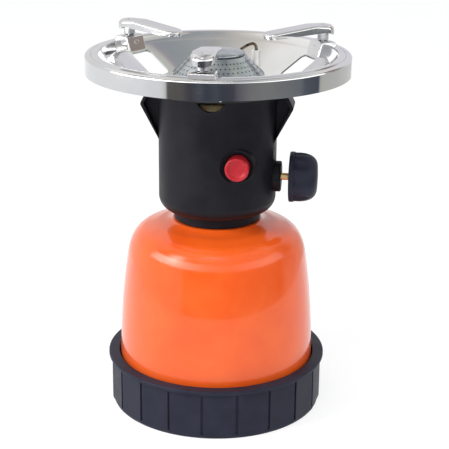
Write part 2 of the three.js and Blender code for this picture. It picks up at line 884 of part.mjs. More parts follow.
function dish_shape() {
  const band_foot = rim_top - dish_band_height;
  const step_top = rim_top - dish_step_drop;
  const inner_bend = [
    dish_cone_radius + (dish_rim_inner_radius - dish_cone_radius) * dish_inner_round_shares[0],
    dish_cone_top + dish_rim_rise * dish_inner_round_shares[1],
  ];
  const outside = outline(
    [dish_radius, band_foot],
    [dish_radius, step_top - dish_edge_round],
    [dish_radius, step_top, dish_radius - dish_edge_round, step_top],
    [dish_step_radius + dish_step_drop, step_top],
    [dish_step_radius, rim_top],
    [dish_rim_inner_radius, rim_top],
    [...inner_bend, dish_cone_radius, dish_cone_top],
    [dish_hub_radius, hub_top],
    [bowl_throat_radius + dish_hole_gap, hub_top],
  );
  const sheet = turned_sheet(outside, dish_wall, wide_sides);
  const window_end = pivot_radius - bracket_foot_in - window_margin;
  const window = block(
    window_end - window_length,
    window_end,
    -window_width / 2,
    window_width / 2,
    hub_top - dish_wall - overrun,
    rim_top + overrun,
  );
  const opening = block(
    pivot_radius - bracket_plate_in - dish_wall,
    pivot_radius + bracket_opening_out,
    -bracket_opening_width / 2,
    bracket_opening_width / 2,
    dish_cone_top - dish_rim_rise,
    rim_top + overrun,
  );
  const screw_hole = hole(
    dish_screw_radius + seat_gap,
    hub_top - dish_wall - overrun,
    hub_top + overrun,
    small_sides,
  );
  const ceramic_hole = hole(
    ceramic_radius + seat_gap,
    hub_top - dish_wall - overrun,
    hub_top + overrun,
    small_sides,
  );
  const first_turn = THREE.MathUtils.degToRad(support_angles[0]);
  const open_dish = cut(
    sheet,
    spread(window, support_names.length, first_turn),
    spread(opening, support_names.length, first_turn),
    screw_hole.clone().translate(dish_screw_offset, 0, 0),
    screw_hole.clone().translate(-dish_screw_offset, 0, 0),
    ceramic_hole.translate(electrode_x, electrode_y, 0),
  );
  return join(open_dish, spread(bracket_shape(), support_names.length, first_turn));
}

// The raised strip that carries one pan support's rivet.
function bracket_shape() {
  const slope = dish_cone_rise / (dish_cone_radius - dish_hub_radius);
  const foot_in = pivot_radius - bracket_foot_in;
  const foot_in_height = dish_cone_top - (dish_cone_radius - foot_in) * slope;
  const foot_out = pivot_radius + bracket_foot_out;
  const top = outline(
    [foot_out, rim_top - dish_wall],
    [foot_out, rim_top],
    [pivot_radius + bracket_plate_out, bracket_top],
    [pivot_radius - bracket_plate_in, bracket_top],
    [foot_in, foot_in_height],
    [foot_in, foot_in_height - bracket_sink],
  );
  const section = [...top, ...moved_left(top, dish_wall).reverse()];
  const strip = side_plate(
    section.map((point) => [point.x, point.y]),
    bracket_width,
  );
  const rivet_hole = hole(rivet_radius + seat_gap, rim_top, bracket_top + overrun, small_sides);
  return cut(strip, rivet_hole.translate(pivot_radius, 0, 0));
}

function dish_screw_shape() {
  const head = seat_gap + dish_screw_head_height;
  const screw = turned(
    [
      [0, -dish_screw_length],
      [dish_screw_radius, -dish_screw_length],
      [dish_screw_radius, seat_gap],
      [dish_screw_head_radius, seat_gap],
      [dish_screw_head_radius, head],
      [0, head],
    ],
    small_sides,
  );
  return cut(screw, screw_slot(dish_screw_head_radius, head, dish_screw_slot));
}

// Head.

function wing_shape() {
  const root = head_radius - wing_root_depth;
  const slope = (wing_root_drop - wing_tip_drop) / wing_reach;
  const face = [
    [root, head_top - wing_root_drop - wing_root_depth * slope],
    [head_radius + wing_reach, head_top - wing_tip_drop],
    [head_radius + wing_shoulder_reach, head_top],
    [root, head_top],
  ];
  const plate = side_plate(face, wing_thickness);
  const corners = face.map((point) => new THREE.Vector2(...point));
  const inside = moved_left([corners[3], ...corners, corners[0]], wing_border).slice(1, -1);
  const pocket = side_plate(
    inside.map((point) => [point.x, point.y]),
    wing_thickness,
  );
  const shift = wing_thickness - wing_pocket_depth;
  return cut(plate, pocket.clone().translate(0, shift, 0), pocket.clone().translate(0, -shift, 0));
}

function head_shell() {
  const collar_top = head_foot + collar_height;
  const round_top = collar_top + head_round_height;
  const round_corner = [
    collar_radius + (head_radius - collar_radius) * head_round_shares[0],
    collar_top + head_round_height * head_round_shares[1],
  ];
  const floor = head_foot + head_floor;
  const neck_inner = collar_radius - head_wall;
  return turned(
    outline(
      [stem_radius + seat_gap, head_foot],
      [collar_radius, head_foot],
      [collar_radius, collar_top],
      [...round_corner, head_radius, round_top],
      [head_radius, head_top],
      [head_inner_radius, head_top],
      [head_inner_radius, round_top],
      [neck_inner, collar_top + head_wall],
      [neck_inner, floor],
      [stem_radius + seat_gap, floor],
    ),
    wide_sides,
  );
}

function head_shape() {
  const wing = wing_shape();
  const boss = lay_along_x(rod(boss_radius, head_inner_radius, boss_front, middle_sides));
  const boss_room = lay_along_x(hole(boss_bore, head_inner_radius / 2, boss_front - boss_wall, middle_sides));
  const spindle_hole = lay_along_x(
    hole(spindle_radius + 2 * turning_gap, head_inner_radius, boss_front + overrun, small_sides),
  );
  const notch = rod(air_notch_radius, head_inner_radius / 2, head_radius + overrun, middle_sides)
    .rotateX(quarter_turn)
    .translate(0, 0, head_top + air_notch_rise);
  const ceramic_room = hole(
    ceramic_shoulder_radius + seat_gap,
    ceramic_foot - overrun,
    head_top + overrun,
    small_sides,
  );
  const pilot = hole(
    dish_screw_radius + seat_gap,
    hub_top - dish_screw_length - overrun,
    head_top + overrun,
    small_sides,
  );
  const body = join(head_shell(), wing, wing.clone().rotateZ(Math.PI), boss, at_igniter(bezel_shape()));
  return cut(
    body,
    boss_room,
    spindle_hole,
    notch,
    notch.clone().rotateZ(Math.PI),
    ceramic_room.translate(electrode_x, electrode_y, 0),
    pilot.clone().translate(dish_screw_offset, 0, 0),
    pilot.clone().translate(-dish_screw_offset, 0, 0),
    at_igniter(bezel_room()),
  );
}

// Igniter. These shapes are drawn along Z with +Z pointing into the stove from the front.

function at_igniter(geometry) {
  return geometry.rotateX(-quarter_turn).translate(igniter_side, 0, igniter_axis);
}

function bezel_shape() {
  const socket = socket_bore + socket_wall;
  const wall_back = Math.sqrt(head_inner_radius ** 2 - (igniter_side + socket) ** 2);
  return turned(
    [
      [0, -bezel_front],
      [bezel_radius, -bezel_front],
      [bezel_radius, -wall_back],
      [socket, -wall_back],
      [socket, -socket_back],
      [0, -socket_back],
    ],
    middle_sides,
  );
}

// What the bezel leaves open: the space before its face, the recess and the socket's bore.
function bezel_room() {
  const before = -head_radius - overrun;
  return turned(
    [
      [0, before],
      [bezel_radius, before],
      [bezel_radius, -bezel_front],
      [bezel_recess_radius, -bezel_front],
      [bezel_recess_radius, -bezel_front + bezel_recess_depth],
      [socket_bore, -bezel_front + bezel_recess_depth],
      [socket_bore, -socket_back + overrun],
      [0, -socket_back + overrun],
    ],
    middle_sides,
  );
}

function igniter_body_shape() {
  const front = -button_front + button_length + button_travel + overrun;
  const bore = plunger_radius + turning_gap;
  const groove = -socket_back + seat_gap;
  const groove_end = groove + clip_length + 2 * seat_gap;
  const groove_radius = igniter_radius - igniter_groove_depth - seat_gap;
  return turned(
    [
      [bore, front],
      [igniter_radius, front],
      [igniter_radius, groove],
      [groove_radius, groove],
      [groove_radius, groove_end],
      [igniter_radius, groove_end],
      [igniter_radius, igniter_back],
      [terminal_radius, igniter_back],
      [terminal_radius, igniter_back + terminal_length],
      [0, igniter_back + terminal_length],
      [0, -igniter_bore_end],
      [bore, -igniter_bore_end],
    ],
    middle_sides,
  );
}

function igniter_clip_shape() {
  const start = -socket_back + 2 * seat_gap;
  return ring(igniter_radius - igniter_groove_depth, clip_radius, start, start + clip_length, middle_sides);
}

function button_shape() {
  const back = -button_front + button_length;
  return turned(
    [
      [0, -button_front + button_dish_depth],
      [button_dish_radius, -button_front + button_dish_depth],
      [button_dish_radius, -button_front],
      [button_radius, -button_front],
      [button_radius, back],
      [plunger_radius, back],
      [plunger_radius, back + plunger_length],
      [0, back + plunger_length],
    ],
    middle_sides,
  );
}

// The insulated lead from the igniter's terminal to the foot of the electrode.
function lead_shape() {
  const start = igniter_back + terminal_length + seat_gap;
  const level = igniter_axis;
  const foot = ceramic_foot - seat_gap;
  const climb = foot - level;
  const back = (electrode_y - start) / 2;
  return wire(
    [
      new THREE.Vector3(igniter_side, start, level),
      new THREE.Vector3(igniter_side, start + back, level),
      new THREE.Vector3((igniter_side + electrode_x) / 2, electrode_y - back / 2, level + climb / 5),
      new THREE.Vector3(electrode_x, electrode_y, level + climb / 2),
      new THREE.Vector3(electrode_x, electrode_y, foot),
    ],
    lead_radius,
    lead_step_count,
    hexagon_sides,
  );
}

function ceramic_shape() {
  const shoulder = head_top - ceramic_foot;
  const length = ceramic_top - ceramic_foot;
  return turned(
    [
      [ceramic_bore, 0],
      [ceramic_shoulder_radius, 0],
      [ceramic_shoulder_radius, shoulder],
      [ceramic_radius, shoulder],
      [ceramic_radius, length],
      [ceramic_bore, length],
    ],
    small_sides,
  );
}

// The spark wire: up through the ceramic, then bent over towards the burner's edge.
function spark_wire_shape() {
  const inwards = new THREE.Vector3(-Math.cos(electrode_turn), -Math.sin(electrode_turn), 0);
  const at = (reach, height) =>
    new THREE.Vector3(electrode_x, electrode_y, height).addScaledVector(inwards, reach);
  return wire(
    [
      at(0, ceramic_foot + seat_gap),
      at(0, (ceramic_foot + ceramic_top) / 2),
      at(0, ceramic_top),
      at(0, ceramic_top + spark_rise / 3),
      at(spark_reach / 6, ceramic_top + spark_rise),
      at(spark_reach / 2, ceramic_top + spark_rise),
      at(spark_reach, ceramic_top + spark_rise / 2),
    ],
    spark_wire_radius,
    2 * lead_step_count,
    hexagon_sides,
  );
}

// Pan supports. These are drawn with the pivot on the Z axis and +X pointing outwards.

function support_arm_shape() {
  const inner_end = -arm_length;
  const outer_end = arm_width / 2;
  const pad_end = -arm_pad_length;
  const tall = arm_top + overrun;
  const low = bracket_top;
  const tray = (border, drop, foot_lift) => {
    const half = arm_width / 2 - border;
    const plan = new THREE.Shape();
    plan.absarc(0, 0, half, -quarter_turn, quarter_turn, false);
    plan.absarc(inner_end + arm_width / 2, 0, half, quarter_turn, 3 * quarter_turn, false);
    const view = [
      [inner_end - overrun, arm_top - arm_slope_drop - drop],
      [inner_end - overrun, arm_top - arm_slope_drop - arm_inner_depth - foot_lift],
      [0, arm_top - arm_pivot_depth - foot_lift],
      [outer_end + overrun, arm_top - arm_end_depth - foot_lift],
      [outer_end + overrun, arm_top - drop],
      [pad_end, arm_top - drop],
    ];
    return overlap(raised(plan, low, tall), side_plate(view, 2 * arm_width));
  };
  const sink = arm_top - arm_wall;
  const rivet_hole = turned(
    [
      [0, sink - overrun],
      [rivet_radius + seat_gap, sink - overrun],
      [rivet_radius + seat_gap, sink],
      [rivet_head_radius + seat_gap, arm_top],
      [rivet_head_radius + seat_gap, tall],
      [0, tall],
    ],
    small_sides,
  );
  return cut(tray(0, 0, 0), tray(arm_wall, arm_wall, overrun), rivet_hole);
}

function support_rivet_shape() {
  const plate_foot = bracket_top - dish_wall;
  const head_rise = plate_foot - seat_gap;
  return turned(
    [
      [0, head_rise - rivet_head_height],
      [rivet_head_radius, head_rise - rivet_head_height],
      [rivet_head_radius, head_rise],
      [rivet_radius, head_rise],
      [rivet_radius, arm_top - arm_wall],
      [rivet_head_radius, arm_top],
      [0, arm_top],
    ],
    small_sides,
  );
}

function support_bushing_shape() {
  return ring(
    rivet_radius + seat_gap,
    bushing_radius,
    bracket_top + seat_gap,
    arm_top - arm_wall - seat_gap,
    small_sides,
  );
}

// The assembly.

function lifted(mesh, height) {
  mesh.position.z = height;
  return mesh;
}

function base_group() {
  const group = new THREE.Group();
  group.add(piece("base_cup", base_shape(), black_plastic));
  group.add(lifted(piece("gas_cartridge", cartridge_shape(), tin_plate), cartridge_foot));
  return group;
}

function bell_group() {
  const group = new THREE.Group();
  group.add(piece("bell_housing", bell_shape(), painted_steel));
  const nut_foot = bell_top - bell_wall - seat_gap - lock_nut_height;
  group.add(lifted(piece("bell_lock_nut", lock_nut_shape(), zinc_steel), nut_foot));
  return group;
}

function valve_group() {
  const group = new THREE.Group();
  group.add(piece("valve_body", valve_body_shape(), brass));
  group.add(lifted(piece("piercing_needle", needle_shape(), polished_steel), cartridge_top - needle_reach));
  const seal = ring(needle_radius + seat_gap, seal_radius, 0, seal_height, middle_sides);
  group.add(lifted(piece("cartridge_seal", seal, rubber), cartridge_top + seat_gap));
  const filter = rod(stem_bore - seat_gap, 0, filter_height, small_sides);
  group.add(lifted(piece("gas_filter", filter, brass), stem_foot + needle_seat + seat_gap));
  group.add(lifted(piece("jet_nozzle", jet_shape(), brass), column_top + seat_gap - jet_spigot_length));
  group.add(lifted(piece("mixing_tube", mixing_tube_shape(), brass), tube_foot));
  return group;
}

// What lies along the valve's axis, from the seat out to the knob.
function spindle_group() {
  const group = new THREE.Group();
  group.position.z = valve_axis;
  group.rotation.y = quarter_turn;
  group.add(piece("valve_spindle", spindle_shape(), brass));
  group.add(piece("spindle_o_ring", o_ring_shape(), rubber));
  group.add(piece("valve_gland_nut", gland_nut_shape(), brass));
  group.add(lifted(piece("control_knob", knob_shape(), black_plastic), knob_back));
  group.add(lifted(piece("knob_screw", knob_screw_shape(), zinc_steel), knob_front - knob_recess_depth));
  return group;
}

function burner_group() {
  const group = new THREE.Group();
  group.add(piece("burner_bowl", bowl_shape(), brass));
  group.add(piece("burner_cap", burner_cap_shape(), burner_steel));
  group.add(lifted(piece("burner_top_plate", top_plate_shape(), burner_steel), cap_top + seat_gap));
  return group;
}

function head_group() {
  const group = new THREE.Group();
  group.add(piece("head_housing", head_shape(), black_plastic));
  group.add(piece("flame_dish", dish_shape(), polished_steel));
  const sides = { right: dish_screw_offset, left: -dish_screw_offset };
  for (const [side, offset] of Object.entries(sides)) {
    const screw = lifted(piece(`dish_screw_${side}`, dish_screw_shape(), zinc_steel), hub_top);
    screw.position.x = offset;
    group.add(screw);
  }
  return group;
}

function igniter_group() {
  const group = new THREE.Group();
  group.position.set(igniter_side, 0, igniter_axis);
  group.rotation.x = -quarter_turn;
  group.add(piece("igniter_body", igniter_body_shape(), black_plastic));
  group.add(piece("igniter_clip", igniter_clip_shape(), zinc_steel));
  group.add(piece("igniter_button", button_shape(), red_plastic));
  return group;
}

function electrode_group() {
  const group = new THREE.Group();
  const insulator = lifted(piece("electrode_ceramic", ceramic_shape(), ceramic), ceramic_foot);
  const clip_shape = ring(
    ceramic_radius + seat_gap,
    electrode_clip_radius,
    0,
    electrode_clip_height,
    small_sides,
  );
  const clip = lifted(piece("electrode_clip", clip_shape, zinc_steel), hub_top + seat_gap);
  for (const mesh of [insulator, clip]) {
    mesh.position.x = electrode_x;
    mesh.position.y = electrode_y;
    group.add(mesh);
  }
  group.add(piece("electrode_wire", spark_wire_shape(), brass));
  group.add(piece("igniter_lead", lead_shape(), lead_sleeve));
  return group;
}

function support_group(name, angle) {
  const pivot = new THREE.Group();
  pivot.position.x = pivot_radius;
  pivot.add(piece(`support_arm_${name}`, support_arm_shape(), polished_steel));
  pivot.add(piece(`support_rivet_${name}`, support_rivet_shape(), polished_steel));
  pivot.add(piece(`support_bushing_${name}`, support_bushing_shape(), zinc_steel));
  const group = new THREE.Group();
  group.rotation.z = THREE.MathUtils.degToRad(angle);
  group.add(pivot);
  return group;
}

const stove = new THREE.Group();
stove.name = "camping_gas_stove";
stove.add(base_group(), bell_group(), valve_group(), spindle_group(), burner_group());
stove.add(head_group(), igniter_group(), electrode_group());
support_names.forEach((name, i) => stove.add(support_group(name, support_angles[i])));

export default stove;
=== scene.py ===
# %% [markdown]
# # A camping gas stove, piece by piece
#
# The stove stands on its own gas cartridge: a black base, an orange bell over the cartridge, a
# black head with the valve and the igniter, and a polished dish with the burner and three folding
# pan supports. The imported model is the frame. It fixes where every piece sits and how it moves,
# and this lesson makes the fine surfaces and finishes on top of it.

# %% Load the frame
import json
import math

import bmesh
import bpy
from mathutils import Matrix, Vector
from mathutils.geometry import interpolate_bezier

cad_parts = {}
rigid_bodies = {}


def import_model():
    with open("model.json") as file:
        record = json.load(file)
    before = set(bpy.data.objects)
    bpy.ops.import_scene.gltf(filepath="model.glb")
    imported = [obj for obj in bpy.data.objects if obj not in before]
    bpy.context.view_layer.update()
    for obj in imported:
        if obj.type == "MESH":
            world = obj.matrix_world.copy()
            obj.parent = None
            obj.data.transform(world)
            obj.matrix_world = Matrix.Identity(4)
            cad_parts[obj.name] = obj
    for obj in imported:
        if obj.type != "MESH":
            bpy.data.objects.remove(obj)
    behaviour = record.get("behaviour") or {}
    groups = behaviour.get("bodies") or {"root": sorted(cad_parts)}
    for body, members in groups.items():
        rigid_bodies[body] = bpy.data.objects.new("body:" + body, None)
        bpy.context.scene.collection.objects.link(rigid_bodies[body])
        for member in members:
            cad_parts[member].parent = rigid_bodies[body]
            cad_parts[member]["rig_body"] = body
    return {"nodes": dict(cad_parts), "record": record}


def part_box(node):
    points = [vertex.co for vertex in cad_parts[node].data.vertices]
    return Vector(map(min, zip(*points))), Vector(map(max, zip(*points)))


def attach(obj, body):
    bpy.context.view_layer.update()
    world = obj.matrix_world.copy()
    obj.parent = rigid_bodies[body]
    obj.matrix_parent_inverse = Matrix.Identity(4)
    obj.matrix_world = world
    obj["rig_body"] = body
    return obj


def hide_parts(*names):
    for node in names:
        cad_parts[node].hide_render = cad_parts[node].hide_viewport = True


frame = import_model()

scene = bpy.context.scene
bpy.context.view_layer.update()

# %% [markdown]
# ## Units and places
#
# Blender and the frame are in metres, but a stove like this is drawn in millimetres. So every
# piece is drawn in millimetres and is brought to metres once, when it is finished. Places come
# from the frame's boxes, so that a piece always lands where its solid is.

# %% Units, directions and the frame's boxes
MM = 0.001
FULL_TURN = 2 * math.pi
QUARTER_TURN = math.pi / 2
CENTRE = Vector((0, 0, 0))
X_AXIS, Y_AXIS, Z_AXIS = Vector((1, 0, 0)), Vector((0, 1, 0)), Vector((0, 0, 1))
SLOTS = {part["node"]: part["material_slot"] for part in frame["record"]["subparts"]}


def box_mm(node):
    low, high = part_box(node)
    return low / MM, high / MM


def middle_mm(node):
    return [(low + high) / 2 for low, high in zip(*box_mm(node))]


for node in ("base_cup", "bell_housing", "head_housing", "flame_dish"):
    low, high = box_mm(node)
    print(node, "is", round(high.x - low.x, 1), "mm wide and reaches", round(high.z, 1), "mm up")

# %% [markdown]
# ## The draughting kit
#
# Most pieces of a stove are turned or pressed, so most of them start as an outline: a few points
# in the plane of radius and height. A corner of the outline may carry a rounding, which a vertex
# bevel cuts into the wire before it is spun. Rounding the wire is surer than bevelling the solid
# afterwards, because each corner keeps its own radius. A long bend is a Bezier curve instead.

# %% Outlines
ROUND_STEPS = 4
WELD = 0.002


def part_way(start, end, across, up):
    """A point whose radius and height lie by two shares between those of start and end."""
    return start[0] + across * (end[0] - start[0]), start[1] + up * (end[1] - start[1])


def bend(start, corner, end, steps):
    """The points of a curve that leaves start towards corner and comes to end from it."""
    start, corner, end = [Vector((*point, 0)) for point in (start, corner, end)]
    handles = start.lerp(corner, 2 / 3), end.lerp(corner, 2 / 3)
    curve = interpolate_bezier(start, *handles, end, steps + 1)
    return [(point.x, point.y) for point in curve[1:]]


def bevel(bm, geometry, width, segments, affect, **more):
    return bmesh.ops.bevel(
        bm, geom=geometry, offset=width, offset_type="OFFSET", segments=segments, profile=0.5,
        affect=affect, material=-1, **more,
    )


def outline(corners, closed=False, steps=ROUND_STEPS):
    """A wire over the X axis. A corner is a radius, a height and, if it is rounded, how far."""
    bm = bmesh.new()
    verts = [bm.verts.new((corner[0], 0, corner[1])) for corner in corners]
    ends = verts[1:] + verts[:1] if closed else verts[1:]
    for start, end in zip(verts, ends):
        bm.edges.new((start, end))
    for vert, corner in zip(verts, corners):
        if len(corner) == 3:
            bevel(bm, [vert], corner[2], steps, "VERTICES")
    return bm


# %% Tidying and turning
def tidy(bm):
    bmesh.ops.remove_doubles(bm, verts=bm.verts, dist=WELD)
    bmesh.ops.recalc_face_normals(bm, faces=bm.faces)
    return bm


def face_out(bm):
    """Turns an open skin's faces round if the highest of them looks back at the origin."""
    top = max(bm.faces, key=lambda face: face.calc_center_median().z)
    if top.normal.dot(top.calc_center_median()) < 0:
        bmesh.ops.reverse_faces(bm, faces=bm.faces)
    return bm


def spin(bm, geometry, angle, steps, **more):
    return bmesh.ops.spin(
        bm, geom=geometry, cent=CENTRE, axis=Z_AXIS, angle=angle, steps=steps, **more
    )


def turned(corners, steps, closed=False):
    """Spins an outline once round the Z axis."""
    bm = outline(corners, closed)
    spin(bm, [*bm.verts, *bm.edges], FULL_TURN, steps, use_merge=True)
    return tidy(bm)


# %% Placing a shape
def move(bm, offset):
    bmesh.ops.translate(bm, vec=offset, verts=bm.verts)
    return bm


def rotate(bm, angle, axis=Z_AXIS):
    bmesh.ops.rotate(bm, cent=CENTRE, matrix=Matrix.Rotation(angle, 3, axis), verts=bm.verts)
    return bm


def along_x(bm, height):
    """Lays a shape that was drawn up the Z axis along +X at the given height."""
    return move(rotate(bm, QUARTER_TURN, Y_AXIS), (0, 0, height))


def along_y(bm, side, height):
    """Lays a shape that was drawn up the Z axis along +Y."""
    return move(rotate(bm, -QUARTER_TURN, X_AXIS), (side, 0, height))


# %% Simple solids
def brick(low, high):
    bm = bmesh.new()
    low, high = Vector(low), Vector(high)
    bmesh.ops.create_cube(bm, size=1)
    bmesh.ops.scale(bm, vec=high - low, verts=bm.verts)
    return move(bm, (low + high) / 2)


def cylinder(radius, foot, top, steps=48):
    return turned([(0, foot), (radius, foot), (radius, top), (0, top)], steps)


def new_verts(grown):
    return [item for item in grown["geom"] if isinstance(item, bmesh.types.BMVert)]


def slab(corners, width):
    """A closed outline, filled and drawn out sideways to half the width on either side."""
    bm = outline(corners, closed=True)
    bmesh.ops.contextual_create(bm, geom=bm.edges[:])
    grown = bmesh.ops.extrude_face_region(bm, geom=bm.faces[:])
    bmesh.ops.translate(bm, vec=(0, width, 0), verts=new_verts(grown))
    return tidy(move(bm, (0, -width / 2, 0)))


# %% Objects, and what modifiers make of them
def link_object(name, data):
    obj = bpy.data.objects.new(name, data)
    scene.collection.objects.link(obj)
    return obj


def add_object(bm, name, *materials):
    mesh = bpy.data.meshes.new(name)
    bm.to_mesh(mesh)
    bm.free()
    for material in materials:
        mesh.materials.append(material)
    return link_object(name, mesh)


def shape_of(obj):
    """The shape that an object shows, with its modifiers."""
    bpy.context.view_layer.update()
    bm = bmesh.new()
    bm.from_mesh(obj.evaluated_get(bpy.context.evaluated_depsgraph_get()).to_mesh())
    return bm


# %% Joining, cutting and rounding
def into(bm, *others):
    """Adds the other shapes to bm as they are."""
    for other in others:
        mesh = bpy.data.meshes.new("passing")
        other.to_mesh(mesh)
        other.free()
        bm.from_mesh(mesh)
        bpy.data.meshes.remove(mesh)
    return bm


def boolean(bm, others, operation):
    """Cuts or joins closed shapes with the exact solver, and gives a new shape back."""
    for other in others:
        pair = [add_object(shape, "passing") for shape in (bm, other)]
        modifier = pair[0].modifiers.new("boolean", "BOOLEAN")
        modifier.object, modifier.operation, modifier.solver = pair[1], operation, "EXACT"
        bm = shape_of(pair[0])
        for obj in pair:
            mesh = obj.data
            bpy.data.objects.remove(obj)
            bpy.data.meshes.remove(mesh)
    return bm


def cut(bm, *tools):
    return boolean(bm, tools, "DIFFERENCE")


def soften(bm, width, chosen=None, angle=40, segments=2):
    """Rounds the sharp edges, or those of them that chosen picks."""
    edges = [
        edge for edge in bm.edges
        if edge.is_manifold and edge.calc_face_angle(0) > math.radians(angle)
        and (chosen is None or chosen(edge))
    ]
    bevel(bm, edges, width, segments, "EDGES", clamp_overlap=True)
    return bm


# %% [markdown]
# ## Handing a piece in
#
# Each finished piece stands for one solid of the frame, so the helper below asks for that
# solid's name. It finds the body that the piece rides on and the finish of the solid's slot.
# Smooth shading with sharp edges above a set angle keeps pressed and moulded shapes crisp.

# %% Finishing a piece
SHARP_DEGREES = 38


def hand_in(bm, name, node, sharp=SHARP_DEGREES, material=None):
    bmesh.ops.scale(bm, vec=(MM, MM, MM), verts=bm.verts)
    for face in bm.faces:
        face.smooth = True
    obj = add_object(bm, name, material or FINISHES[SLOTS[node]])
    obj.data.set_sharp_from_angle(angle=math.radians(sharp))
    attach(obj, frame["nodes"][node]["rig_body"])
    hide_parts(node)
    print(name, "stands for", node, "with", len(obj.data.polygons), "faces")
    return obj


def even_shading(obj):
    """Lets the large faces set the normals, so that a rounding doesn't bend the light on them."""
    weighted = obj.modifiers.new("even shading", "WEIGHTED_NORMAL")
    weighted.keep_sharp = True


# %% [markdown]
# ## Shared effects
#
# Real surfaces are never even. Four effects come back in many finishes here: a fine moulded
# grain, a slow change of gloss from handling, the rings that turning and polishing leave, and a
# gentle waviness of enamel. Each is a node group that is built once. A group only puts out
# values and normals, and the shader stays in the material.

# %% Helpers for nodes
def feed(tree, socket, value):
    """Gives a socket a value or, if it is another node's output, a link."""
    if isinstance(value, bpy.types.NodeSocket):
        tree.links.new(value, socket)
    else:
        socket.default_value = value


def set_inputs(tree, node, **inputs):
    for label, value in inputs.items():
        feed(tree, node.inputs[label.replace("_", " ")], value)
    return node


def add_node(tree, kind, **inputs):
    return set_inputs(tree, tree.nodes.new("ShaderNode" + kind), **inputs)


def math_node(tree, operation, *values):
    node = add_node(tree, "Math")
    node.operation = operation
    for socket, value in zip(node.inputs, values):
        feed(tree, socket, value)
    return node.outputs[0]


def share_of(tree, value, low, high):
    """0 where value is low and 1 where it is high."""
    return add_node(tree, "MapRange", Value=value, From_Min=low, From_Max=high).outputs["Result"]


def place_node(tree, kind="Object"):
    return add_node(tree, "TexCoord").outputs[kind]


def new_group(name, inputs, outputs):
    group = bpy.data.node_groups.new(name, "ShaderNodeTree")
    for label in inputs:
        group.interface.new_socket(label, in_out="INPUT", socket_type="NodeSocketFloat")
    for label, kind in outputs.items():
        group.interface.new_socket(label, in_out="OUTPUT", socket_type=kind)
    return group, group.nodes.new("NodeGroupInput").outputs, group.nodes.new("NodeGroupOutput")


# %% Handling: gloss that changes slowly between two roughnesses
def make_handling():
    group, given, end = new_group(
        "handling", ("Spots per metre", "Least", "Most"),
        {"Roughness": "NodeSocketFloat", "Mask": "NodeSocketFloat"},
    )
    slow = add_node(
        group, "TexNoise", Vector=place_node(group), Scale=given["Spots per metre"], Detail=4,
        Roughness=0.55,
    )
    mask = share_of(group, slow.outputs["Fac"], 0.35, 0.65)
    rough = add_node(group, "MapRange", Value=mask, To_Min=given["Least"], To_Max=given["Most"])
    set_inputs(group, end, Roughness=rough.outputs["Result"], Mask=mask)
    return group


# %% Reliefs: fine noise as a height, which a bump node turns into a normal
def round_the_axis(tree):
    """Distance from the Z axis and height, which draws the noise out into rings."""
    place = add_node(tree, "SeparateXYZ", Vector=place_node(tree)).outputs
    squares = [math_node(tree, "MULTIPLY", place[i], place[i]) for i in (0, 1)]
    radius = math_node(tree, "SQRT", math_node(tree, "ADD", *squares))
    bearing = math_node(tree, "ARCTAN2", place[1], place[0])
    drift = math_node(tree, "MULTIPLY", math_node(tree, "SINE", bearing), 0.002)
    return add_node(tree, "CombineXYZ", X=radius, Y=place[2], Z=drift).outputs[0]


def make_relief(name, detail, roughness, depth, place=place_node):
    group, given, end = new_group(
        name, ("Per metre", "Strength"), {"Normal": "NodeSocketVector"}
    )
    noise = add_node(
        group, "TexNoise", Vector=place(group), Scale=given["Per metre"], Detail=detail,
        Roughness=roughness,
    )
    bump = add_node(
        group, "Bump", Height=noise.outputs["Fac"], Strength=given["Strength"], Distance=depth
    )
    set_inputs(group, end, Normal=bump.outputs["Normal"])
    return group


HANDLING = make_handling()
GRAIN = make_relief("moulded grain", 3, 0.6, 0.08 * MM)
RINGS = make_relief("turning rings", 2, 0.6, 0.04 * MM, round_the_axis)
WAVINESS = make_relief("waviness", 2, 0.5, 0.4 * MM)
print("shared effects:", ", ".join(group.name for group in bpy.data.node_groups))

# %% [markdown]
# ## Finishes
#
# A finish is a Principled shader with its even values typed on its own sockets. What changes
# over the surface comes in by links: roughness from the handling group, the normal from grain,
# rings or waviness, and colour from a ramp over slow noise, because paint and plastic drift a
# little in tone. Bare metals get a full Metallic and differ in colour and roughness.

# %% A finish with its effects
def new_finish(name, **sockets):
    material = bpy.data.materials.new(name)
    material.use_nodes = True
    tree = material.node_tree
    return material, tree, set_inputs(tree, tree.nodes["Principled BSDF"], **sockets)


def add_group(tree, group, **inputs):
    node = add_node(tree, "Group")
    node.node_tree = group
    return set_inputs(tree, node, **inputs).outputs


def make_finish(name, dark, light, rough, spots, relief, per_metre, strength, **sockets):
    """Two tones, two roughnesses, the spots and the relief per metre, and the relief's strength."""
    material, tree, shader = new_finish(name, **sockets)
    handled = add_group(tree, HANDLING, Spots_per_metre=spots, Least=rough[0], Most=rough[1])
    tones = add_node(tree, "Mix")
    tones.data_type = "RGBA"
    set_inputs(tree, tones, A=(*dark, 1), B=(*light, 1), Factor=handled["Mask"])
    raised = add_group(tree, relief, Per_metre=per_metre, Strength=strength)
    set_inputs(
        tree, shader, Base_Color=tones.outputs["Result"], Roughness=handled["Roughness"],
        Normal=raised["Normal"],
    )
    return material


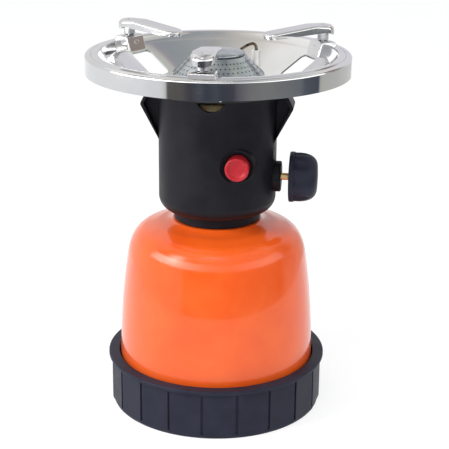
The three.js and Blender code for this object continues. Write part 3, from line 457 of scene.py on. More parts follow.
# %% The stove's finishes
FINISHES = {
    "orange_paint": make_finish(
        "orange enamel", (0.84, 0.098, 0.009), (0.90, 0.124, 0.013), (0.18, 0.26), 45,
        WAVINESS, 170, 0.06,
        Specular_IOR_Level=0.3, Coat_Weight=0.55, Coat_Roughness=0.05, Coat_IOR=1.5,
    ),
    "black_plastic": make_finish(
        "black moulded plastic", (0.0085, 0.0085, 0.012), (0.0115, 0.0115, 0.016), (0.38, 0.5),
        90, GRAIN, 2400, 0.3, Specular_IOR_Level=0.15,
    ),
    "red_plastic": make_finish(
        "red moulded plastic", (0.42, 0.010, 0.018), (0.52, 0.015, 0.026), (0.26, 0.36), 220,
        GRAIN, 1800, 0.12, Specular_IOR_Level=0.4,
    ),
    "polished_steel": make_finish(
        "polished steel", (0.76, 0.765, 0.77), (0.83, 0.83, 0.83), (0.05, 0.12), 38,
        RINGS, 2600, 0.05, Metallic=1,
    ),
    "burner_steel": make_finish(
        "burner steel", (0.40, 0.44, 0.47), (0.54, 0.58, 0.59), (0.14, 0.24), 110,
        RINGS, 3600, 0.16, Metallic=1,
    ),
    "zinc_steel": make_finish(
        "zinc-plated steel", (0.60, 0.60, 0.61), (0.70, 0.70, 0.72), (0.26, 0.38), 300,
        GRAIN, 5200, 0.16, Metallic=1,
    ),
    "brass": make_finish(
        "turned brass", (0.70, 0.49, 0.20), (0.80, 0.60, 0.30), (0.18, 0.30), 160,
        RINGS, 4200, 0.15, Metallic=1,
    ),
    "rubber": make_finish(
        "black rubber", (0.014, 0.014, 0.014), (0.022, 0.022, 0.022), (0.6, 0.75), 200,
        GRAIN, 5000, 0.3,
    ),
    "white_ceramic": make_finish(
        "glazed ceramic", (0.80, 0.79, 0.75), (0.85, 0.845, 0.82), (0.12, 0.22), 240,
        WAVINESS, 900, 0.1, Coat_Weight=0.6,
    ),
    "spark_wire": make_finish(
        "heat-tinted wire", (0.05, 0.038, 0.028), (0.24, 0.19, 0.13), (0.25, 0.4), 420,
        GRAIN, 5200, 0.2, Metallic=1,
    ),
    "lead_sleeve": make_finish(
        "silicone sleeve", (0.70, 0.70, 0.66), (0.78, 0.78, 0.75), (0.5, 0.6), 200,
        GRAIN, 3000, 0.2,
    ),
    "cartridge_tin": make_finish(
        "lacquered tin plate", (0.035, 0.12, 0.34), (0.05, 0.16, 0.42), (0.2, 0.3), 60,
        WAVINESS, 200, 0.08, Coat_Weight=0.8,
    ),
}
BASE_PLASTIC = make_finish(
    "blue-black moulded plastic", (0.016, 0.018, 0.032), (0.023, 0.025, 0.044), (0.40, 0.52), 90,
    GRAIN, 2400, 0.3, Specular_IOR_Level=0.15,
)
BOWL_BRASS = make_finish(
    "heat-dulled brass", (0.30, 0.23, 0.12), (0.54, 0.43, 0.25), (0.28, 0.42), 120,
    RINGS, 4200, 0.2, Metallic=0.35,
)
print(len(FINISHES), "finishes, and two more for the base's plastic and the bowl")

# %% [markdown]
# ## The base
#
# The base is moulded. Its grip is a ring of twenty flats with a thin groove at each corner, and
# a flange runs round its top. A full spin can't make flats, so one flat and one groove are spun
# as a sector and the sector is repeated. The grip's points are then pulled in to the chord, and
# the groove's faces are inset.

# %% Sizes of the base
base_high = box_mm("base_cup")[1]
bell_low, bell_high = box_mm("bell_housing")
flange_radius = base_high.x
base_top = base_high.z
skirt_radius = bell_high.x
base_bore = skirt_radius + 0.6
grip_radius = flange_radius - 1.3
grip_top = base_top - 1.9
base_inner = grip_radius - 2.2
base_floor = 3.4
foot_chamfer = 1.2
foot_inner = grip_radius - foot_chamfer - 7
foot_rise = 0.8
lip_foot = base_top - 2.2
groove_count, groove_width, groove_depth = 20, 1.2, 0.8
groove_foot, groove_top = 2 * foot_chamfer, grip_top - foot_chamfer
flat_steps = 8
grip_band, near = 0.6, 0.01

# %% One flat and one groove, repeated round the base
bm = outline([
    (0, foot_rise), (foot_inner - foot_rise, foot_rise, 0.3), (foot_inner, 0, 0.25),
    (grip_radius - foot_chamfer, 0, 0.4), (grip_radius, foot_chamfer, 0.5),
    (grip_radius, groove_foot), (grip_radius, groove_top), (grip_radius, grip_top, 0.12),
    (flange_radius, grip_top, 0.3), (flange_radius, base_top, 0.7),
    (base_bore, base_top, 0.45), (base_bore, lip_foot, 0.2), (base_inner, lip_foot),
    (base_inner, base_floor, 1), (0, base_floor),
])
sector = FULL_TURN / groove_count
half_groove = groove_width / 2 / grip_radius
rotate(bm, half_groove)
flat = spin(bm, [*bm.verts, *bm.edges], sector - 2 * half_groove, flat_steps)
for vert in bm.verts:
    on_side = grip_radius - grip_band < vert.co.xy.length < grip_radius + near
    if on_side and foot_chamfer * 0.7 < vert.co.z < grip_top + near:
        bearing = math.atan2(vert.co.y, vert.co.x)
        pull = math.cos(sector / 2) / math.cos(bearing - sector / 2)
        vert.co.x *= pull
        vert.co.y *= pull
spin(bm, flat["geom_last"], 2 * half_groove, 1)
whole = [*bm.verts, *bm.edges, *bm.faces]
spin(bm, whole, FULL_TURN - sector, groove_count - 1, use_duplicate=True)
tidy(bm)
grooves = [
    face for face in bm.faces
    if face.calc_center_median().xy.length > grip_radius - grip_band
    and abs(face.calc_center_median().z - (groove_foot + groove_top) / 2) < 1
    and min(edge.calc_length() for edge in face.edges) < groove_width * 1.02
    and abs(face.normal.z) < near
]
print("grooves:", len(grooves))
bmesh.ops.inset_individual(bm, faces=grooves, thickness=0.06, depth=-groove_depth)
base_cup = soften(
    bm, 0.22, lambda edge: groove_foot - 0.3 < edge.verts[0].co.z < groove_top + 0.3
    and edge.verts[0].co.xy.length > grip_radius - 0.75, 50,
)

# %% Its three bayonet lugs, and the finished base
bell_sheet, lug_reach, lug_play, lug_travel = 0.8, 1.1, 0.6, math.radians(40)
lug_width, lug_foot, lug_top = 6, base_floor + 9.6, base_floor + 12.6
lug_inner, lug_outer = skirt_radius - bell_sheet - lug_reach, base_inner + 1
for i in range(3):
    lug = brick((lug_inner, -lug_width / 2, lug_foot), (lug_outer, lug_width / 2, lug_top))
    into(base_cup, rotate(soften(lug, 0.4), i * FULL_TURN / 3))
even_shading(hand_in(base_cup, "base_cup_moulding", "base_cup", material=BASE_PLASTIC))

# %% [markdown]
# ## The bell
#
# The bell is deep-drawn from thin steel and enamelled. Only its outer outline is drawn, spun as
# a single skin, and the sheet's thickness is added to the inside at the end. The bayonet slots
# are faces taken out of the skin before that, which is how a press tool makes them.

# %% Outline of the bell
collar_radius, stem_hole = 21.8, 6.3


def on_bell(radius_share, height_share):
    return part_way((0, base_top), (skirt_radius, bell_high.z), radius_share, height_share)


slot_foot, slot_top = lug_foot - lug_play, lug_top + lug_play
bell_side = (skirt_radius, base_top - 3)
bell_waist, bell_shoulder = on_bell(0.91, 0.747), on_bell(0.723, 0.943)
bell_crown = on_bell(0.602, 0.967)
bell_points = [
    (skirt_radius, bell_low.z), (skirt_radius, slot_foot), (skirt_radius, slot_top), bell_side,
    *bend(bell_side, on_bell(0.992, 0.376), bell_waist, 16),
    *bend(bell_waist, on_bell(0.876, 0.908), bell_shoulder, 18),
    (*bell_crown, 2.2),
    *bend(bell_crown, on_bell(0.482, 0.972), (collar_radius + 0.5, bell_high.z), 12),
    (collar_radius - 2, bell_high.z), (stem_hole, bell_high.z),
]

# %% Spin the bell, take out the slots and give it its sheet
bm = turned(bell_points, 144)
play = (lug_width / 2 + lug_play) / skirt_radius
gone = []
for face in bm.faces:
    middle = face.calc_center_median()
    if middle.z > slot_top or abs(face.normal.z) > 0.5:
        continue
    back = -math.atan2(middle.y, middle.x) % (FULL_TURN / 3)
    near_zero = back < lug_travel + play or back > FULL_TURN / 3 - play
    way_in = abs(back - lug_travel) < play
    if way_in or (near_zero and middle.z > slot_foot):
        gone.append(face)
bmesh.ops.delete(bm, geom=gone, context="FACES")
bell = hand_in(face_out(bm), "bell_pressing", "bell_housing", sharp=60)
sheet = bell.modifiers.new("sheet", "SOLIDIFY")
sheet.thickness = bell_sheet * MM
sheet.offset = -1
even_shading(bell)

# %% [markdown]
# ## The head
#
# The head is one moulding: a can with a rounded foot, two gusset wings under the dish, a boss
# for the valve and a ringed socket for the igniter. The can is spun; the wings are a side view
# that is extruded, inset and sunk; and exact Booleans join them, because the shapes meet on
# curved walls where no operator could bridge them. The edges are rounded last.

# %% Sizes of the head
head_low, head_high = box_mm("head_housing")
head_foot, head_top = head_low.z, head_high.z
head_radius, head_wall = head_high.y, 2.5
head_inner, neck_inner = head_radius - head_wall, collar_radius - head_wall
collar_top, head_floor = head_foot + 4.1, head_foot + 2.3
round_top = collar_top + 7.4
knob_low, knob_high = box_mm("control_knob")
valve_height = middle_mm("control_knob")[2]
button_low, button_high = box_mm("igniter_button")
button_side, button_height = middle_mm("igniter_button")[::2]
electrode_low, electrode_high = box_mm("electrode_ceramic")
electrode_x, electrode_y = middle_mm("electrode_ceramic")[:2]
screw_side = middle_mm("dish_screw_right")[0]
wing_thickness, wing_round = 14, 0.9
wing_tip = (head_high.x, head_top - 6.7, wing_round)
wing_shoulder = (head_radius + 5.1, head_top, wing_round)
wing_root, wing_foot = head_inner + 0.9, head_top - 25.7
pocket_edge, pocket_draft, pocket_depth = 1.5, 0.3, 4
boss_root, boss_front = head_inner - 0.5, head_radius + 2.7
boss_radius, boss_bore, boss_wall = 7.7, 2.6, 1.3

# %% The can, its wings and its boss
collar_edge, can_edge = (collar_radius, collar_top), (head_radius, round_top)
head_can = turned([
    (stem_hole, head_foot), (collar_radius, head_foot, 0.5), collar_edge,
    *bend(collar_edge, part_way(collar_edge, can_edge, 0.93, 0.23), can_edge, 12),
    (head_radius, head_top, 0.5), (head_inner, head_top, 0.4), (head_inner, round_top),
    (neck_inner, collar_top + head_wall), (neck_inner, head_floor), (stem_hole, head_floor),
], 160, closed=True)


def wing():
    corners = [(wing_root, wing_foot), wing_tip, wing_shoulder, (wing_root, head_top)]
    bm = slab(corners, wing_thickness)
    cheeks = [face for face in bm.faces if abs(face.normal.y) > 0.9]
    for edge, depth in ((pocket_edge, 0), (pocket_draft, -pocket_depth)):
        bmesh.ops.inset_individual(bm, faces=cheeks, thickness=edge, depth=depth)
    return bm


boss = along_x(turned([
    (boss_bore, boss_root), (boss_radius, boss_root), (boss_radius, boss_front, 0.7),
    (boss_bore, boss_front, 0.3),
], 64, closed=True), valve_height)

# %% The igniter's socket
bezel_front, bezel_radius = -27.2, 8.4
recess_radius, recess_back, socket_bore = 7.0, bezel_front + 1.2, 6.15
socket_radius, socket_back = socket_bore + 1.5, -8.4
socket_root = -math.sqrt(head_inner ** 2 - (button_side + socket_radius) ** 2)
igniter_socket = along_y(turned([
    (0, bezel_front), (bezel_radius, bezel_front, 0.5), (bezel_radius, socket_root),
    (socket_radius, socket_root), (socket_radius, socket_back), (0, socket_back),
], 64), button_side, button_height)

# What the socket leaves open: the space before its face, the recess and the bore.
igniter_room = along_y(turned([
    (0, -head_radius - 2), (bezel_radius, -head_radius - 2), (bezel_radius, bezel_front),
    (recess_radius + 0.3, bezel_front), (recess_radius, bezel_front + 0.3),
    (recess_radius, recess_back), (socket_bore, recess_back), (socket_bore, socket_back + 1),
    (0, socket_back + 1),
], 64), button_side, button_height)

# %% The spaces that the head leaves open, and the finished head
notch_radius, notch_height = 7.2, head_top + 2.4
valve_room_radius, lead_hole_radius = 5.6, 3.2
dish_screw_hole, edge_rounding = 1.5, 0.3


def at_electrode(bm):
    return move(bm, (electrode_x, electrode_y, 0))


def screw_holes(foot, top, steps):
    holes = [cylinder(dish_screw_hole, foot, top, steps) for i in range(2)]
    return [move(hole, (side, 0, 0)) for hole, side in zip(holes, (screw_side, -screw_side))]


bm = boolean(head_can, [wing(), rotate(wing(), math.pi), boss, igniter_socket], "UNION")
valve_room = cylinder(valve_room_radius, head_inner / 2, boss_front - boss_wall)
notch = cylinder(notch_radius, -head_radius - 1, head_radius + 1, 64)
lead_hole = at_electrode(cylinder(lead_hole_radius, button_height + 10, head_top + 1))
bm = tidy(cut(
    bm, along_x(valve_room, valve_height), igniter_room,
    move(rotate(notch, QUARTER_TURN, X_AXIS), (0, 0, notch_height)),
    into(lead_hole, *screw_holes(head_top - 9, head_top + 1, 48)),
))
head = hand_in(bm, "head_moulding", "head_housing")
rounding = head.modifiers.new("rounding", "BEVEL")
rounding.width = edge_rounding * MM
rounding.segments = 2
rounding.limit_method = "ANGLE"
rounding.angle_limit = math.radians(48)
even_shading(head)

# %% [markdown]
# ## The knob, its screw and the spindle
#
# The knob is turned and fluted. A flute is the path of a round cutter beside the knob, and for a
# round cutter the greatest radius left at each bearing is a short formula, so the spun knob's
# points are simply drawn in to it. That keeps every face a clean four-sided one.

# %% Sizes of the knob
knob_length = knob_high.x - knob_low.x
knob_radius = knob_high.z - valve_height
knob_side = knob_radius - 0.4
lip_length, side_length, nose_radius = 2.5, 5.2, 6
hub_radius, bore_radius, well_radius, well_depth = 4.4, 2.1, 10.4, 6
flute_count, flute_radius, flute_depth = 8, 5, 1.1
face_radius, recess_floor, screw_bore = 4, knob_length - 2.2, 1.3

# %% Turn the knob and draw in its flutes
side_end, nose = (knob_side, side_length), (nose_radius, knob_length)
nose_corner = part_way((0, side_length), (knob_side, knob_length), 0.97, 0.95)
bm = turned([
    (bore_radius, 0), (hub_radius, 0, 0.3), (hub_radius, well_depth),
    (well_radius, well_depth), (well_radius, 0, 0.3), (knob_radius, 0, 0.5),
    (knob_radius, lip_length, 0.45), (knob_side, lip_length), (knob_side, lip_length + 0.6),
    side_end, *bend(side_end, nose_corner, nose, 16),
    (face_radius, knob_length, 0.4), (face_radius, recess_floor, 0.2),
    (screw_bore, recess_floor), (screw_bore, recess_floor - 1.6),
    (bore_radius, recess_floor - 1.6),
], 32 * flute_count, closed=True)
pitch = FULL_TURN / flute_count
middle = knob_side + flute_radius - flute_depth
for vert in bm.verts:
    reach = vert.co.xy.length
    if vert.co.z < lip_length - 0.05 or reach < nose_radius:
        continue
    bearing = (math.atan2(vert.co.y, vert.co.x) + pitch / 2) % pitch - pitch / 2
    across = middle * math.sin(bearing)
    if abs(across) < flute_radius:
        limit = middle * math.cos(bearing) - math.sqrt(flute_radius ** 2 - across ** 2)
        if limit < reach:
            vert.co.x *= limit / reach
            vert.co.y *= limit / reach
move(along_x(bm, valve_height), (knob_low.x, 0, 0))
even_shading(hand_in(bm, "knob_moulding", "control_knob", 42, BASE_PLASTIC))

# %% A slotted screw, drawn up the Z axis with the seat of its head at zero
screw_head_radius, screw_slot, screw_lift = 2.6, 0.7, 0.3


def slotted_screw(shank_radius, length, head_height):
    top, edge = screw_lift + head_height, screw_head_radius
    bm = turned([
        (0, -length), (shank_radius, -length, 0.2), (shank_radius, screw_lift),
        (edge, screw_lift), (edge, top, 0.45), (0, top + 0.12),
    ], 40)
    slot_floor = top - screw_slot
    groove = brick((-edge - 1, -screw_slot / 2, slot_floor), (edge + 1, screw_slot / 2, top + 1))
    return soften(cut(bm, groove), 0.06, lambda edge: edge.verts[0].co.z > slot_floor - 0.1, 60, 1)


knob_screw = along_x(slotted_screw(1, 7.5, 1.4), valve_height)
move(knob_screw, (knob_low.x + recess_floor, 0, 0))
hand_in(knob_screw, "knob_screw_slotted", "knob_screw")
for side in ("right", "left"):
    node, head_height = "dish_screw_" + side, 1.6
    seat = box_mm(node)[1].z - screw_lift - head_height
    screw = rotate(slotted_screw(1.2, 10, head_height), math.radians(35))
    hand_in(move(screw, (middle_mm(node)[0], 0, seat)), "dish_screw_slotted_" + side, node)

# %% The brass spindle
spindle_low, spindle_high = box_mm("valve_spindle")
thin, wide, screw_bore_floor = 1.8, 3.0, knob_low.x + recess_floor - 7.8
tip, end = spindle_low.x, spindle_high.x
steps_along = [(wide, 2.6), (wide, 8.6), (thin, 8.6), (thin, 11.2), (wide, 11.2), (wide, 12.7)]
spindle = turned([
    (0, tip), *[(radius, tip + along) for radius, along in steps_along], (thin, tip + 12.7),
    (thin, end, 0.2), (screw_bore, end), (screw_bore, screw_bore_floor), (0, screw_bore_floor),
], 40)
hand_in(along_x(spindle, valve_height), "spindle_turned", "valve_spindle")

# %% [markdown]
# ## The igniter button
#
# A small red plunger with a sunk face. It is turned like the knob, with soft corners, and rides
# on its own body so that it can be pressed.

# %% The button
button_face, button_radius = button_low.y, button_high.x - button_side
button_back, spigot_radius, dimple_radius = button_face + 7.4, 2.2, 4.4
button = turned([
    (0, button_face + 1.0), (dimple_radius - 0.5, button_face + 1.0, 0.5),
    (dimple_radius, button_face, 0.35), (button_radius, button_face, 0.6),
    (button_radius, button_back, 0.3), (spigot_radius, button_back),
    (spigot_radius, button_high.y, 0.3), (0, button_high.y),
], 64)
button = along_y(button, button_side, button_height)
even_shading(hand_in(button, "button_moulding", "igniter_button"))

# %% [markdown]
# ## The dish
#
# The dish is spun from polished steel: a flat hub, a cone, a soft bend up to the rim, a fine
# groove, a rolled edge and a band. It is drawn as one skin, and its sheet is added downwards. The
# windows and the openings under the brackets are then punched through it. A thin ring inside the
# band's foot stands for the folded hem that keeps the edge from cutting.

# %% Sizes of the dish
dish_low, dish_high = box_mm("flame_dish")
dish_radius, dish_sheet = dish_high.x, 0.8
hub_top, bracket_top = dish_low.z + dish_sheet, dish_high.z
rim_top = bracket_top - 2.1
cone_top, band_foot = rim_top - 3.9, rim_top - 9.7
flat_radius, cone_radius = 33.5, dish_radius - 11.6
rim_inner, step_radius = dish_radius - 6.7, dish_radius - 3.6
step_top = rim_top - 0.4
groove_floor = step_top - 0.5
throat_gap_radius = 17.2
pivot_radius = dish_radius - 8.1
support_bearings = {"front": -90, "right": 30, "left": 150}


def at_supports(make, *sizes):
    """One shape at each support, drawn with +X pointing outwards."""
    return [rotate(make(*sizes), math.radians(bearing)) for bearing in support_bearings.values()]


def thicken(bm, thickness):
    """Gives an open skin its sheet, on the side that its normals point away from."""
    bmesh.ops.solidify(bm, geom=bm.faces[:], thickness=thickness)
    return tidy(bm)


# %% The spun sheet
rim_edge, cone_edge = (rim_inner, rim_top), (cone_radius, cone_top)
dish_skin = thicken(face_out(turned([
    (dish_radius, band_foot), (dish_radius, step_top, 1.4),
    (step_radius + 0.9, step_top), (step_radius + 0.45, groove_floor), (step_radius, rim_top),
    (*rim_edge, 1.2), *bend(rim_edge, part_way(cone_edge, rim_edge, 0.62, 0.25), cone_edge, 12),
    (flat_radius, hub_top, 2.0), (throat_gap_radius, hub_top),
], 192)), dish_sheet)

# %% Windows and openings: where each starts and ends, its width and its corners' radius
window_end = pivot_radius - 6.5
window = (window_end - 14.5, window_end, 14, 2.5)
opening = (pivot_radius - 4.5, pivot_radius + 3.3, 11, 0.8)


def punch(start, end, width, corner):
    """A tool with rounded corners, to go through the sheet."""
    bm = brick((start, -width / 2, dish_low.z - 2), (end, width / 2, rim_top + 4))
    upright = [edge for edge in bm.edges if abs(edge.verts[0].co.z - edge.verts[1].co.z) > 1]
    bevel(bm, upright, corner, 6, "EDGES")
    return bm


# %% A bracket: a raised bridge, open below, with an oval pressed into its inner side
bracket_width, bracket_round = 13, 0.9
leg_radius = pivot_radius - 6
cone_slope = (cone_top - hub_top) / (cone_radius - flat_radius)
leg_foot = (leg_radius, cone_top - (cone_radius - leg_radius) * cone_slope)
leg_top = (pivot_radius - 3.7, bracket_top)
oval, oval_rise = (0.35, 2.6, 1.4), 0.6
rivet_hole_radius = 1.7


def bracket():
    bm = slab([
        (leg_foot[0], leg_foot[1] - 0.3), (*leg_top, 1.3), (pivot_radius + 3.8, bracket_top, 1.2),
        (pivot_radius + 5.3, groove_floor), (rim_inner, rim_top - 0.4),
        (cone_radius, cone_top - 0.4),
    ], bracket_width)
    under = [face for face in bm.faces if face.normal.z < -0.1]
    bmesh.ops.delete(bm, geom=under, context="FACES")
    soften(
        bm, bracket_round,
        lambda edge: abs(abs(edge.verts[0].co.y) - bracket_width / 2) < WELD, 60, 4,
    )
    press = bmesh.new()
    bmesh.ops.create_uvsphere(press, u_segments=32, v_segments=16, radius=1)
    bmesh.ops.scale(press, vec=oval, verts=press.verts)
    rotate(press, math.atan2(leg_top[0] - leg_foot[0], leg_top[1] - leg_foot[1]), Y_AXIS)
    middle = part_way(leg_foot, leg_top, 0.5, 0.5)
    move(press, (middle[0], 0, middle[1] + oval_rise))
    hole = move(cylinder(rivet_hole_radius, rim_top, bracket_top + 1, 40), (pivot_radius, 0, 0))
    return cut(thicken(bm, dish_sheet), press, hole)


# %% Punch the sheet and add the brackets and the hem
ceramic_hole_radius, hem_height = 2.5, 2.6
below, above = dish_low.z - 1, hub_top + 1
holes = into(
    at_electrode(cylinder(ceramic_hole_radius, below, above, 40)),
    *screw_holes(below, above, 32), *at_supports(punch, *window), *at_supports(punch, *opening),
)
hem_outer, hem_inner = dish_radius - dish_sheet + 0.05, dish_radius - 2 * dish_sheet
hem_top = band_foot + hem_height
hem = turned([
    (hem_outer, band_foot, 0.3), (hem_outer, hem_top), (hem_inner, hem_top, 0.3),
    (hem_inner, band_foot, 0.3),
], 192, closed=True)
dish = into(cut(dish_skin, holes), hem, *at_supports(bracket))
even_shading(hand_in(dish, "dish_spinning", "flame_dish", sharp=30))

# %% [markdown]
# ## The burner
#
# The gas comes up through a golden bowl and leaves through four rows of fine holes in a steel
# cone. Two hundred holes would be slow to cut one by one. Here every second point of a spun grid
# is bevelled into an octagon, and the octagons are deleted, which punches a whole row at once.

# %% The bowl
bowl_low, bowl_high = box_mm("burner_bowl")
bowl_floor, bowl_sheet = hub_top + 0.3, 0.8
neck_end = (8.1, bowl_low.z + 5)
throat_foot = (16.6, bowl_floor - 1.8)
bowl = thicken(face_out(turned([
    (neck_end[0], bowl_low.z), neck_end,
    *bend(neck_end, part_way(neck_end, throat_foot, 0.2, 0.75), throat_foot, 16),
    (throat_foot[0], bowl_floor), (bowl_high.x, bowl_floor, 0.8), (bowl_high.x, bowl_high.z),
], 96)), bowl_sheet)
hand_in(bowl, "bowl_spinning", "burner_bowl", material=BOWL_BRASS)

# %% The perforated cap
cap_low, cap_high = box_mm("burner_cap")
cap_radius, cap_top_radius, cap_sheet = cap_high.x, 13.2, 0.6
cone_foot = cap_low.z + 3.4
hole_rows = (0.17, 0.36, 0.55, 0.76)
holes_per_row, flame_hole_radius = 50, 0.64


def on_cap(share):
    return part_way((cap_radius, cone_foot), (cap_top_radius, cap_high.z), share, share)


between_rows = [(low + high) / 2 for low, high in zip(hole_rows, hole_rows[1:])]
shares = sorted([0.07, *hole_rows, *between_rows, 0.88])
bm = turned([
    (cap_radius, cap_low.z), (cap_radius, cone_foot, 0.5), *[on_cap(share) for share in shares],
    (cap_top_radius, cap_high.z, 0.5), (cap_top_radius - 2.2, cap_high.z),
], 2 * holes_per_row)
spots = []
for row, share in enumerate(hole_rows):
    for vert in bm.verts:
        if abs(vert.co.z - on_cap(share)[1]) < WELD:
            turns = math.atan2(vert.co.y, vert.co.x) / FULL_TURN
            if (round(turns * 2 * holes_per_row) + row) % 2 == 0:
                spots.append(vert)
filled = bevel(bm, spots, flame_hole_radius, 2, "VERTICES")
bmesh.ops.delete(bm, geom=filled["faces"], context="FACES")
print("flame holes:", len(spots))
cap = thicken(face_out(bm), cap_sheet)
even_shading(hand_in(cap, "cap_pressing", "burner_cap"))

# %% The top plate: a low dome with a rolled edge
plate_low, plate_high = box_mm("burner_top_plate")
plate_sheet = 0.8
plate_radius, plate_edge = plate_high.x, plate_low.z + 1
dome_top, dome_under = plate_high.z, plate_high.z - plate_sheet
inner_edge = (plate_radius - plate_sheet, plate_edge)
plate = turned([
    (inner_edge[0], plate_low.z, 0.2), (plate_radius, plate_low.z, 0.3),
    (plate_radius, plate_edge, 0.5),
    *bend((plate_radius, plate_edge), (plate_radius / 2, dome_top), (0, dome_top), 14),
    (0, dome_under), *bend((0, dome_under), (plate_radius / 2, dome_under), inner_edge, 8),
], 96, closed=True)
hand_in(plate, "top_plate_pressing", "burner_top_plate")

# %% [markdown]
# ## The electrode
#
# A glazed ceramic tube carries the spark wire from the igniter through the dish. The wire is
# bent over towards the burner, so it is a Bezier curve with a round section. The curve is turned
# into a mesh so that it can be finished like the rest.

# %% Ceramic and clip
lead_bore, ceramic_radius, ceramic_collar = 1.05, 2.2, 2.9
low, high = electrode_low.z, electrode_high.z
ceramic = at_electrode(turned([
    (lead_bore, low, 0.2), (ceramic_collar, low, 0.4), (ceramic_collar, head_top, 0.4),
    (ceramic_radius, head_top, 0.2), (ceramic_radius, high, 0.5), (lead_bore, high, 0.3),
], 40, closed=True))
hand_in(ceramic, "electrode_ceramic_glazed", "electrode_ceramic")

low, high = box_mm("electrode_clip")
inner, outer = ceramic_radius + 0.25, (high.x - low.x) / 2
clip = at_electrode(turned([
    (inner, low.z, 0.15), (outer, low.z, 0.15), (outer, high.z, 0.25), (inner, high.z, 0.25),
], 40, closed=True))
hand_in(clip, "electrode_clip_ring", "electrode_clip")

# %% The bent wire
wire_radius, rise, reach, top = 0.72, 3.2, 10.3, electrode_high.z
inwards = -Vector((electrode_x, electrode_y, 0)).normalized()
route = [
    (0, electrode_low.z + 0.3), (0, (electrode_low.z + top) / 2), (0, top), (0, top + rise / 3),
    (reach / 6, top + rise), (reach / 2, top + rise), (reach, top + rise / 2),
]
curve = bpy.data.curves.new("passing", "CURVE")
curve.dimensions = "3D"
curve.bevel_depth, curve.bevel_resolution, curve.resolution_u = wire_radius, 5, 10
curve.use_fill_caps = True
spline = curve.splines.new("BEZIER")
spline.bezier_points.add(len(route) - 1)
for point, (along, height) in zip(spline.bezier_points, route):
    point.co = Vector((electrode_x, electrode_y, height)) + inwards * along
    point.handle_left_type = point.handle_right_type = "AUTO"
obj = link_object("passing", curve)
bm = shape_of(obj)
bpy.data.objects.remove(obj)
bpy.data.curves.remove(curve)
hand_in(tidy(bm), "electrode_wire_bent", "electrode_wire")

# %% [markdown]
# ## The pan supports
#
# Each support is a narrow tray pressed from sheet: flat on top over its rivet, then sloping down
# towards the burner. The tray's plan is drawn once and its rim is pulled down. Its heights follow
# two short rules, one for the top and one for the lower edge. It turns on a flush rivet, with a
# spacer below it.

# %% Plan and heights of an arm
arm_top = box_mm("support_arm_right")[1].z
arm_width, arm_length, arm_sheet = 11, 33, 1
half_width = arm_width / 2
pad_end, slope_drop = -7, 3
pivot_depth, tip_depth, inner_depth = 3.4, 5.4, 2.6
side_round, tip_round = 0.9, 2.6
rivet_head_radius = 2.7
inset_steps = (0.04, 0.1, 0.18, 0.27, 0.38, 0.5, 0.6, 0.7)


def top_drop(point):
    """How far the arm's top lies below its highest level: the slope, and the rounded edge."""
    x, y = point.x, point.y
    slope = max(0, (pad_end - x) / (arm_length + pad_end) * slope_drop)
    middle = Vector((min(0, max(x, half_width - arm_length)), 0))
    from_edge = half_width - (Vector((x, y)) - middle).length
    rounding = side_round + (tip_round - side_round) * min(1, max(0, (x + 2) / 5))
    missing = max(0, rounding - from_edge)
    return slope + rounding - math.sqrt(max(0, rounding ** 2 - missing ** 2))


def edge_drop(x):
    if x > 0:
        return pivot_depth + (tip_depth - pivot_depth) * x / half_width
    return pivot_depth + (slope_drop + inner_depth - pivot_depth) * -x / arm_length


# %% The tray: its plan, filled, shaped by the two rules and given its sheet
def arm_tray():
    ends = (-arm_length, 0), (half_width, 0), (half_width, arm_width), (-arm_length, arm_width)
    bm = tidy(outline([(*end, half_width) for end in ends], True, 14))
    move(rotate(bm, QUARTER_TURN, X_AXIS), (0, half_width, 0))
    bmesh.ops.contextual_create(bm, geom=bm.edges[:])
    for step in inset_steps:
        middle = max(bm.faces, key=lambda face: face.calc_area())
        bmesh.ops.inset_individual(bm, faces=[middle], thickness=step)
    for x in (2.5, 0, pad_end + 1.5, pad_end, pad_end - 1.5):
        whole = [*bm.verts, *bm.edges, *bm.faces]
        bmesh.ops.bisect_plane(bm, geom=whole, plane_co=(x, 0, 0), plane_no=X_AXIS)
    rim = [edge for edge in bm.edges if edge.is_boundary]
    low = set(new_verts(bmesh.ops.extrude_edge_only(bm, edges=rim)))
    for vert in bm.verts:
        vert.co.z = arm_top - (edge_drop(vert.co.x) if vert in low else top_drop(vert.co))
    bmesh.ops.recalc_face_normals(bm, faces=bm.faces)
    rivet_seat = turned([
        (0, arm_top - 3), (rivet_hole_radius, arm_top - 3),
        (rivet_hole_radius, arm_top - arm_sheet), (rivet_head_radius, arm_top),
        (rivet_head_radius, arm_top + 1), (0, arm_top + 1),
    ], 40)
    return cut(thicken(face_out(bm), arm_sheet), rivet_seat)


# %% Rivets and spacers
rivet_edge, rivet_shank, spacer_radius = 2.4, 1.4, 2.8


def support_rivet(low, high):
    return turned([
        (0, low.z), (rivet_edge, low.z, 0.4), (rivet_edge, low.z + 1, 0.2),
        (rivet_shank, low.z + 1), (rivet_shank, high.z - arm_sheet), (rivet_edge, high.z, 0.15),
        (0.9, high.z), (0.6, high.z - 0.25), (0, high.z - 0.3),
    ], 48)


def support_spacer(low, high):
    return turned([
        (rivet_hole_radius, low.z, 0.2), (spacer_radius, low.z, 0.3),
        (spacer_radius, high.z, 0.3), (rivet_hole_radius, high.z, 0.2),
    ], 48, closed=True)


for name, bearing in support_bearings.items():
    for stem, make in (("rivet", support_rivet), ("bushing", support_spacer)):
        node = "support_" + stem + "_" + name
        shape = move(make(*box_mm(node)), (*middle_mm(node)[:2], 0))
        hand_in(shape, node + "_turned", node)
    node = "support_arm_" + name
    tray = rotate(move(arm_tray(), (pivot_radius, 0, 0)), math.radians(bearing))
    even_shading(hand_in(tray, node + "_tray", node))

# %% [markdown]
# ## Pieces that stay as they are
#
# The cartridge, the valve, the jet and the igniter's inside are hidden. Their solids are shown
# as the frame has them, with the finish of their slot.

